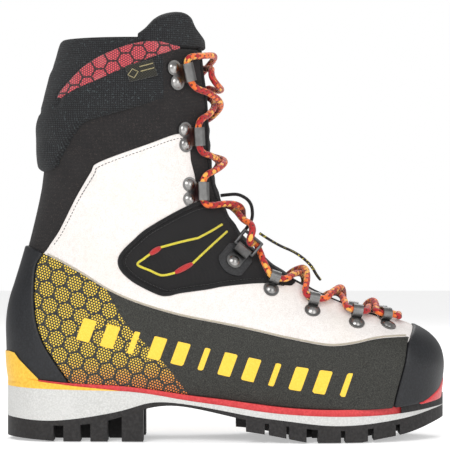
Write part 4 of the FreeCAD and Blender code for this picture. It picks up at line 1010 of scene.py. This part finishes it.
def plate(name, material, low_gap, high_gap, row_depth):
    """A flat layer inside the boot: loops at one depth, between two heights over the feather line."""
    turns = 150
    a = TAU * np.arange(turns) / turns
    v = np.full(turns, 0.6)
    for _ in range(8):
        p = raised(v, a, np.full(turns, -row_depth))
        target = np.interp(p[:, 0], feather[:, 0], feather[:, 1]) + (low_gap + high_gap) / 2
        v = np.clip(v + (target - p[:, 2]) / 18.0, 0.0, 4.0)
    rim = raised(v, a, np.full(turns, -row_depth))
    centre = np.stack([rim[:, 0] * 0.97, np.interp(rim[:, 0], [-150, 0, 150], [0, 0, 5.0]), rim[:, 2]],
                      axis=1)
    verts, faces = [], []
    shares = (1.0, 0.985, 0.95, 0.85, 0.7, 0.5, 0.3, 0.1)
    for level, sign in ((high_gap, 1), (low_gap, -1)):
        for k, share in enumerate(shares):
            q = centre + (rim - centre) * share
            soft = min(1.0, 0.35 + k * 0.35)
            middle = (low_gap + high_gap) / 2
            q[:, 2] = np.interp(q[:, 0], feather[:, 0], feather[:, 1]) + middle + (level - middle) * soft
            verts += list(q)
    ring_count = len(shares)
    for half in (0, 1):
        for k in range(ring_count - 1):
            for m in range(turns):
                a0 = (half * ring_count + k) * turns + m
                a1 = (half * ring_count + k) * turns + (m + 1) % turns
                face = [a0, a1, a1 + turns, a0 + turns]
                faces.append(face if half else face[::-1])
        last = (half * ring_count + ring_count - 1) * turns
        cap = [last + m for m in range(turns)]
        faces.append(cap if half else cap[::-1])
    for m in range(turns):
        k = (m + 1) % turns
        faces.append([m, k, ring_count * turns + k, ring_count * turns + m])
    uv = np.array([(q[0], q[1]) for q in verts]) * MM
    return build(name, verts, faces, material, uv)


bed_depth = LINER_DEPTH + LINING + 1.0
footbed = plate("footbed_felt", MATERIALS["footbed_foam"], 4.3, 8.3, bed_depth)
dress(footbed, "footbed_foam", "footbed", body="lower")

# ---------------------------------------------------------------- piping, seams and stitches
threads = {"lower": [], "bend": [], "cuff": []}
for side in (-1, 1):
    # rolled, overlocked border of the flex panel
    border = clipped(curved(FLEX, True, step=1.2), lambda x, z: x < 30)
    edge_line = np.vstack([curved(FLEX, True, step=1.2)])
    keep = edge_line[(edge_line[:, 0] < 41) & ~((edge_line[:, 0] > -16) & (edge_line[:, 1] > 150))]
    order = np.argsort(np.arctan2(keep[:, 1] - 130, keep[:, 0] - 20) % TAU)
    keep = keep[order]
    v, a = spots(side, keep[:, 0], keep[:, 1])
    rail = raised(v, a, np.full(len(v), 1.0))
    name = "lateral" if side < 0 else "medial"
    pipe = tube_object("flex_piping_" + name, MATERIALS["piping"], [tube(rail, 1.5, sides=10, flat=1.0)])
    dress(pipe, "fabric_black")
    inward = within(curved(FLEX, True), keep[:, 0], keep[:, 1])
    shrunk = np.stack([20 + (keep[:, 0] - 20) * 0.955, 130 + (keep[:, 1] - 130) * 0.90], axis=1)
    threads["bend"] += stitch_line(side, shrunk, 1.25, pitch=2.4, length=1.7, radius=0.28)
    # yellow embroidered lines with red blocks
    yellow, red = [], []
    for line in YELLOW_LINES:
        dense = curved(line, step=1.0)
        v, a = spots(side, dense[:, 0], dense[:, 1])
        yellow.append(tube(raised(v, a, np.full(len(v), 1.35)), 0.85, sides=8, flat=1.0))
    for line in RED_BLOCKS:
        dense = curved(line, step=0.8)
        v, a = spots(side, dense[:, 0], dense[:, 1])
        swell = 1.6 * np.sin(np.linspace(0.35, math.pi - 0.35, len(v))) + 0.5
        red.append(tube(raised(v, a, np.full(len(v), 1.2)), swell, sides=10))
    dress(tube_object("embroidery_yellow_" + name, MATERIALS["thread_yellow"], yellow), "fabric_black")
    dress(tube_object("embroidery_red_" + name, MATERIALS["thread_red"], red), "fabric_black")
    # suede edge: raw cream edge along the rand, and stitching inside the panel's edge
    low_edge = clipped(curved(RAND_LINE, step=1.4), lambda x, z: (x > -126) & (x < 128))
    v, a = spots(side, low_edge[:, 0], low_edge[:, 1] + 0.6)
    trim = tube_object("suede_edge_" + name, MATERIALS["thread_cream"],
                       [tube(raised(v, a, np.full(len(v), 1.1)), 0.7)])
    dress(trim, "leather_white")
    upper_edge = curved([(-29, 211.5), (-35.5, 212), (-54.8, 205), (-87.6, 192.8), (-92, 187),
                         (-102.6, 169.6),
                         (-114.6, 146.6), (-122, 136)], step=1.2)
    threads["bend"] += stitch_line(side, upper_edge, 1.05, pitch=2.6, length=1.8, radius=0.25)
for group, parts in threads.items():
    if parts:
        piece = tube_object("stitching_" + group,
                            MATERIALS["thread_cream"] if group != "bend" else MATERIALS["thread_black"],
                            parts)
        dress(piece, "fabric_black", body=None if group == "bend" else group)

# bindings along the two facings of the throat
for side in (-1, 1):
    vs = np.linspace(4.7, 13.55, 150)
    low, high = np.full(len(vs), 0.0), np.full(len(vs), math.pi)
    low = np.full(len(vs), math.pi * 0.55)
    for _ in range(34):
        mid = (low + high) / 2
        wide = np.abs(skins(vs, mid if side < 0 else TAU - mid)[:, 1]) > THROAT_HALF + 0.4
        low, high = np.where(wide, mid, low), np.where(wide, high, mid)
    angle = (low + high) / 2
    binding = tube_object("facing_binding_" + ("lateral" if side < 0 else "medial"), MATERIALS["piping"],
                          [tube(raised(vs, angle if side < 0 else TAU - angle, np.full(len(vs), -0.6)), 1.5)])
    dress(binding, "fabric_black")

# the tag sewn to the outer side of the collar: plain woven, with a small diamond and two bars
TAG = np.array([(-70.5, 262.5), (-51.5, 267.5), (-48, 256), (-67, 251)], float)
tag = panel("collar_tag_woven", MATERIALS["tag_fabric"], lambda p: within(TAG, p[:, 0], p[:, 2]), 0.2,
            lambda p, v, a, d: insert_lift(p, v) + 1.5, (12.0, 14.0), turns=(1.0, 2.2), edge=0.7, fine=0.5)
dress(tag, "tag_fabric", "collar_tag", body="cuff")


def tag_thread(x, z):
    v, a = spots(-1, [x], [z])
    return raised(v, a, [float(insert_lift(skins(v, a), v)[0]) + 1.6])[0]


diamond = [(-68, 256.2), (-65.2, 260.4), (-61.4, 258.6), (-64, 254.2)]
marks = [tube([tag_thread(*q) for q in diamond], 0.42, sides=6, closed=True)]
for shift in (0.0, 3.2):
    bar = [(-60.5 + shift * 0.2 + k * 3.0, 262.0 - shift + k * 0.85) for k in range(4)]
    marks.append(tube([tag_thread(*q) for q in bar], 0.38, sides=6))
dress(tube_object("collar_tag_marks", MATERIALS["tag_thread"], marks), "tag_fabric", body="cuff")

# ---------------------------------------------------------------- lace: the route as in the CAD source
PLATE = 1.2                  # sheet metal of the lace hardware
STAND = 0.5                  # the plates stand this far off the leather
LACE = 4.6                   # lace diameter
LACE_PLAY = 1.0              # room between the lace and the metal round it
BEND_IN = LACE / 2 + LACE_PLAY
BEND_AT = 8.4                # plate's middle to the lace's channel
LIFT = STAND + PLATE + BEND_IN
LOCK_PAD = 1.5               # rubber under the ankle lock
RING_WIRE, RING_REACH, RING_RISE, BAR_AT = 1.1, 11.0, 4.2, 11.5
FIT = 0.1                    # clearance of the ring's bar over its strap
BAR_HEIGHT = STAND + LOCK_PAD + PLATE + RING_WIRE + FIT
# each spec: number, x and z of its place, then the direction to the throat
HOOKS = [(1, -35.8, 256.6, 1, 0.22), (2, -29.1, 213.3, 1, 0.05), (3, -26.0, 174.7, 1, 0.03)]
LOOPS_LOW = [(1, 31.4, 106.0, 0.35, 1), (2, 60.5, 91.0, 0.2, 1), (3, 91.5, 82.5, 0.15, 1),
             (4, 114.0, 80.5, 0.1, 1)]
LOCK = (4.8, 125.4, 0.64, 0.77)
lace_over = 3.3              # lower lace's centreline above the leather at a crossing
lace_cross = lace_over + LACE + 0.8    # upper lace's centreline there


def on_skin(v, angle, lift):
    return Vector(raised([v], [angle], [lift])[0])


def over(side, x, z, lift=0.0):
    v, angle = spots(side, [x], [z])
    return on_skin(v[0], angle[0], lift)


def local(side, spec, x, y, z):
    """A point given in a hardware frame: x to the throat, y along the edge, z outward."""
    v, angle = spots(side, [spec[0]], [spec[1]])
    normal = Vector(normals(v, angle)[0])
    forward = Vector((spec[2], 0, spec[3]))
    forward = (forward - normal * forward.dot(normal)).normalized()
    along = normal.cross(forward)
    return Vector(skins(v, angle)[0]) + forward * x + along * y + normal * z


def channel(side, spec, reach):
    way = -side
    return [local(side, spec, BEND_AT, way * share * reach, LIFT) for share in (-1.0, 0.0, 1.0)]


def beneath(point, angle):
    """The loop whose leather at that angle is nearest the point, seen from the side."""
    low, high = 2.5, TOP_ROW + 1 - 1.2
    for _ in range(36):
        a, b = low + (high - low) * 0.382, low + (high - low) * 0.618
        p = skins([a, b], [angle, angle])
        gap_a, gap_b = ((q[0] - point.x) ** 2 + (q[2] - point.z) ** 2 for q in p)
        low, high = (low, b) if gap_a < gap_b else (a, high)
    return (low + high) / 2


def set_off(inside, end, onward):
    """Where the lace, out of a hook or loop, heads for the next one."""
    out = (end - inside).normalized()
    away = (onward - end).normalized()
    return end + out * 3.4 + away * 4.2


def crossing(side, leaving, entering, lift, spread=0.42, first_lift=0.0):
    start, end = leaving[-1], entering[0]
    made = []
    turn = spread if side < 0 else -spread
    for share, angle, height in ((0.27, math.pi - turn, 0.42), (0.5, math.pi, 1.0),
                                 (0.73, math.pi + turn, 0.42)):
        v = beneath(start + (end - start) * share, angle)
        away = lace_over + 0.5 + (lift - lace_over - 0.5) * height
        made.append(on_skin(v, angle, away if made else max(away, first_lift)))
    return [set_off(leaving[-2], start, made[0])] + made + [set_off(entering[1], end, made[-1])]


def ring_turn(side):
    """Round the far bar of the ankle ring: under it, up through the ring, and over it."""
    far_x = BAR_AT + math.sqrt(RING_REACH ** 2 - RING_RISE ** 2)
    far_z = BAR_HEIGHT + RING_RISE
    made = []
    for k, degrees in enumerate((285, 255, 225, 195, 165, 135, 105, 75)):
        turn = math.radians(degrees)
        y = -side * (7.0 * k / 7 - 3.5)
        made.append(local(side, LOCK, far_x + 5.0 * math.cos(turn), y, far_z + 5.0 * math.sin(turn)))
    return made


def lace_half(side, is_raised):
    lift = lace_cross if is_raised else lace_over
    hooks = {k: (x, z, dx, dz) for k, x, z, dx, dz in HOOKS}
    loops = {k: (x, z, dx, dz) for k, x, z, dx, dz in LOOPS_LOW}
    here = side
    run = channel(here, loops[4], 3.6)
    ahead = run[0] + Vector((7.5, 0, -1))
    points = [on_skin(beneath(ahead, math.pi), math.pi, lace_over + 1.3)]
    turn = 0.3 if here < 0 else -0.3
    points += [on_skin(beneath(ahead, math.pi - turn), math.pi - turn, lace_over + 1.5)]
    points += [set_off(run[1], run[0], points[-1])]
    for k in (4, 3, 2, 1):
        if k < 4:
            onward = channel(-here, loops[k], 3.6)
            points += crossing(here, run, onward, lift, 0.26 if k == 3 else 0.42)
            here = -here
            run = onward
        points += run
    points += [over(here, 24.5, 122.0, lace_over + 2.0), over(here, 21.5, 131.0, lace_over + 1.0)]
    run = ring_turn(here)
    points += run
    for k in (3, 2, 1):
        onward = channel(-here, hooks[k], 6.7)
        points += crossing(here, run, onward, lift, 0.34 if k == 3 else 0.42, 7.5 if k == 3 else 0.0)
        here = -here
        run = onward
        points += run
    return here, points


def lace_end(side, is_raised, leaving):
    """From the top hook to the knot at the front, and down the inner side to the tip."""
    top = beneath(Vector((-14, 0, 270)), math.pi)
    lift = 8.6 if is_raised else 3.4
    if side < 0:
        points = [on_skin(top + 0.05, math.pi - 0.5, 5.0), on_skin(top + 0.12, math.pi, lift)]
        points += [on_skin(top - 0.2, math.pi + 0.55, 10.0)]
        drop = 9.0
    else:
        points = [on_skin(top - 0.25, math.pi + 0.5, 4.5), on_skin(top - 0.32, math.pi, lift)]
        for dv, turn, away in ((-0.42, -0.24, 1.2), (-0.68, -0.34, 2.8), (-0.95, -0.2, 4.2),
                               (-1.05, 0.05, 5.4)):
            points.append(on_skin(top + dv, math.pi + turn, lift + away))
        points.append(on_skin(top - 1.0, math.pi + 0.5, 14.0))
        drop = 0.0
    hang = [(-26, 252, 15.5), (-29, 232, 14.5), (-30.5, 208, 14.0), (-31, 184, 13.0),
            (-30, 156, 10.5), (-29, 128, 8.0), (-28, 104, 6.5), (-27, 86, 6.5)]
    for x, z, away in hang:
        points.append(over(1, x - drop, z, away))
    return [set_off(leaving[-2], leaving[-1], points[0])] + points


def smooth_run(name, points):
    """Points read from an order 3 NURBS spline whose control points are the route's."""
    curve = bpy.data.curves.new(name + "_route", "CURVE")
    curve.dimensions = "3D"
    curve.resolution_u = 10
    spline = curve.splines.new("NURBS")
    spline.points.add(len(points) - 1)
    for knot, point in zip(spline.points, points):
        knot.co = (*(point * MM), 1.0)
    spline.order_u = 3
    spline.use_endpoint_u = True
    carrier = bpy.data.objects.new(name + "_route", curve)
    bpy.context.scene.collection.objects.link(carrier)
    bpy.context.view_layer.update()
    read = bpy.data.meshes.new_from_object(carrier)
    line = np.array([tuple(v.co) for v in read.vertices]) / MM
    bpy.data.meshes.remove(read)
    bpy.data.objects.remove(carrier)
    bpy.data.curves.remove(curve)
    return line


def run_length(line):
    return float(np.linalg.norm(np.diff(line, axis=0), axis=1).sum())


def slice_of(line, start, end):
    """The part of a line between two lengths along it."""
    run = np.concatenate([[0], np.cumsum(np.linalg.norm(np.diff(line, axis=0), axis=1))])
    stops = np.concatenate([[start], run[(run > start + 0.4) & (run < end - 0.4)], [end]])
    return np.stack([np.interp(stops, run, line[:, c]) for c in range(3)], axis=1)


TIP = 22.0
for side in (-1, 1):
    here, points = lace_half(side, side < 0)
    points += lace_end(here, side < 0, points)
    line = smooth_run("lace", points)
    total = run_length(line)
    name = "lace_outer_start" if side < 0 else "lace_inner_start"
    cord_line = slice_of(line, 0.0, total - TIP + 1.0)
    cord = tube_object(name, MATERIALS["lace_cord"], [tube(cord_line, LACE / 2, sides=14)], sharp=80)
    tip_line = slice_of(line, total - TIP, total)
    radii = np.full(len(tip_line), LACE / 2 + 0.25)
    radii[0] -= 0.3
    radii[-1] -= 0.9
    tip = tube_object(name + "_tip", MATERIALS["lace_tip"], [tube(tip_line, radii, sides=14)], sharp=50)
    if side < 0:
        dress(cord, "lace_cord", "lace_lower", "lace_flex", "lace_cuff")
        dress(tip, "lace_tip", "lace_tips")
    else:
        dress(cord, "lace_cord")
        dress(tip, "lace_tip")

# the keeper strap on the tongue and its thin pull cord
upper_run = channel(-1, HOOKS[2][1:], 6.7)[0]
middle = beneath(ring_turn(1)[-1].lerp(upper_run, 0.5), math.pi)
reach = ((-0.46, -2.6), (-0.42, 2.0), (-0.33, 8.4), (-0.16, 12.2), (0.0, lace_cross + LACE / 2 + 2.4),
         (0.16, 12.2), (0.33, 8.4), (0.42, 2.0), (0.46, -2.6))
profile = curved([tuple(on_skin(middle + dv, math.pi, lift))[::2] for dv, lift in reach], step=1.0)
normal_2d = np.gradient(profile, axis=0)
normal_2d = np.stack([-normal_2d[:, 1], normal_2d[:, 0]], axis=1)
normal_2d /= np.linalg.norm(normal_2d, axis=1)[:, None]
if (normal_2d[len(profile) // 2] @ (1, 0)) < 0:
    normal_2d = -normal_2d
strap_verts, strap_faces = [], []
BAND = [(-6.5, 1.1), (-6.2, 1.8), (-5, 2.2), (0, 2.3), (5, 2.2), (6.2, 1.8), (6.5, 1.1), (6.2, 0.4), (5, 0.0),
        (0, -0.1), (-5, 0.0), (-6.2, 0.4)]
for q, n in zip(profile, normal_2d):
    for y, lift in BAND:
        strap_verts.append((q[0] + n[0] * lift, y, q[1] + n[1] * lift))
m = len(BAND)
for k in range(len(profile) - 1):
    for j in range(m):
        strap_faces.append([k * m + j, (k + 1) * m + j, (k + 1) * m + (j + 1) % m, k * m + (j + 1) % m])
strap_faces += [list(range(m)), [(len(profile) - 1) * m + j for j in range(m)][::-1]]
strap_uv = np.array([(q[1], q[2]) for q in strap_verts]) * MM
keeper = build("tongue_keeper_strap", strap_verts, strap_faces, MATERIALS["flex_fabric"], strap_uv)
dress(keeper, "strap_black", "keeper_strap")

height = lace_cross + LACE / 2 + 1.6
pull_points = [on_skin(v, math.pi + shift, height - sag) for v, shift, sag in (
    (8.0, -0.07, 5.5), (7.5, -0.09, 3.2), (7.0, -0.1, -0.9), (6.55, -0.1, 0.8), (6.33, -0.085, 5.5),
    (6.2, 0.0, 7.5),
    (6.33, 0.085, 5.5), (6.55, 0.1, 0.8), (7.0, 0.1, -0.9), (7.5, 0.09, 3.2), (8.0, 0.07, 5.5))]
pull_line = smooth_run("pull_cord", pull_points)
pull = tube_object("pull_cord_loop", MATERIALS["pull_cord"], [tube(pull_line, 1.0, sides=10)], sharp=80)
dress(pull, "pull_cord", "pull_cord", body="lower")

# ---------------------------------------------------------------- CAD nodes that keep their shape
KEPT = {
    "outsole": "rubber_black", "midsole": "midsole_foam", "heel_welt": "welt_yellow",
    "welt_strip": "welt_red",
    "toe_welt": "rubber_black", "insole_board": "board", "toe_puff": "board", "heel_counter": "board",
    "ankle_lock_patches": "patch_rubber", "hook_rivets": "rivet_steel", "lace_loop_rivets": "rivet_steel",
}
for side_name in ("lateral", "medial"):
    for k in range(1, 5):
        KEPT["lace_loop_%d_%s" % (k, side_name)] = "metal_dark"
    for k in range(1, 4):
        KEPT["hook_%d_%s" % (k, side_name)] = "metal_dark"
    KEPT["ankle_lock_strap_" + side_name] = "metal_dark"
    KEPT["ankle_lock_ring_" + side_name] = "metal_dark"
for node, paint in KEPT.items():
    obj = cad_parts[node]
    for slot_item in obj.material_slots:
        slot_item.material = MATERIALS[paint]
    if not obj.material_slots:
        obj.data.materials.append(MATERIALS[paint])

# ---------------------------------------------------------------- floor, light and camera
WHITE_LIGHT = (1.0, 1.0, 1.0, 1.0)
FLOOR_SIZE = 8.0
FLOOR_DROP = 0.0005          # floor below the sole, so that the faces don't fight
FLOOR_GLOW = 0.42
AMBIENT = 0.48
LENS_MM, SENSOR_MM = 200, 36
CAMERA_PLACE = (-0.0007, -1.79, 0.1516)

floor_mat = Paint("floor_white", 0.9, specular=0.1)
cloudy = floor_mat.noise(3.0, 3.0)
floor_mat.colour(floor_mat.mix(cloudy, (0.93, 0.93, 0.93), (0.97, 0.97, 0.97)))
floor_mat.shader.inputs["Emission Color"].default_value = WHITE_LIGHT
floor_mat.shader.inputs["Emission Strength"].default_value = FLOOR_GLOW
bpy.ops.mesh.primitive_plane_add(size=FLOOR_SIZE, location=(0, 0, -FLOOR_DROP))
floor = bpy.context.object
floor.name = "floor"
floor.data.materials.append(floor_mat.mat)

world = bpy.data.worlds.new("studio")
bpy.context.scene.world = world
world.use_nodes = True
sky = world.node_tree
ambient = sky.nodes["Background"]
ambient.inputs[0].default_value = WHITE_LIGHT
ambient.inputs[1].default_value = AMBIENT
backdrop = sky.nodes.new("ShaderNodeBackground")
backdrop.inputs[0].default_value = WHITE_LIGHT
path_kind = sky.nodes.new("ShaderNodeLightPath")
chosen = sky.nodes.new("ShaderNodeMixShader")
sky.links.new(path_kind.outputs["Is Camera Ray"], chosen.inputs[0])
sky.links.new(ambient.outputs[0], chosen.inputs[1])
sky.links.new(backdrop.outputs[0], chosen.inputs[2])
sky.links.new(chosen.outputs[0], sky.nodes["World Output"].inputs[0])


def area(name, place, aim, size, power):
    """A soft square light that points at a place."""
    lamp = bpy.data.lights.new(name, "AREA")
    lamp.size = size
    lamp.energy = power
    obj = bpy.data.objects.new(name, lamp)
    bpy.context.scene.collection.objects.link(obj)
    obj.location = place
    obj.rotation_euler = (Vector(aim) - Vector(place)).to_track_quat("-Z", "Y").to_euler()


area("key", (-0.5, -1.5, 1.1), (0, 0, 0.14), 0.9, 18)
area("fill", (1.1, -1.3, 0.6), (0, 0, 0.12), 1.0, 8)
area("rim", (0.2, 1.2, 1.3), (0, 0, 0.15), 0.9, 9)

camera_data = bpy.data.cameras.new("camera")
camera_data.lens = LENS_MM
camera_data.sensor_width = SENSOR_MM
camera = bpy.data.objects.new("camera", camera_data)
bpy.context.scene.collection.objects.link(camera)
camera.location = CAMERA_PLACE
camera.rotation_euler = (math.radians(90), 0, 0)
bpy.context.scene.camera = camera
bpy.context.scene.view_settings.view_transform = "Standard"
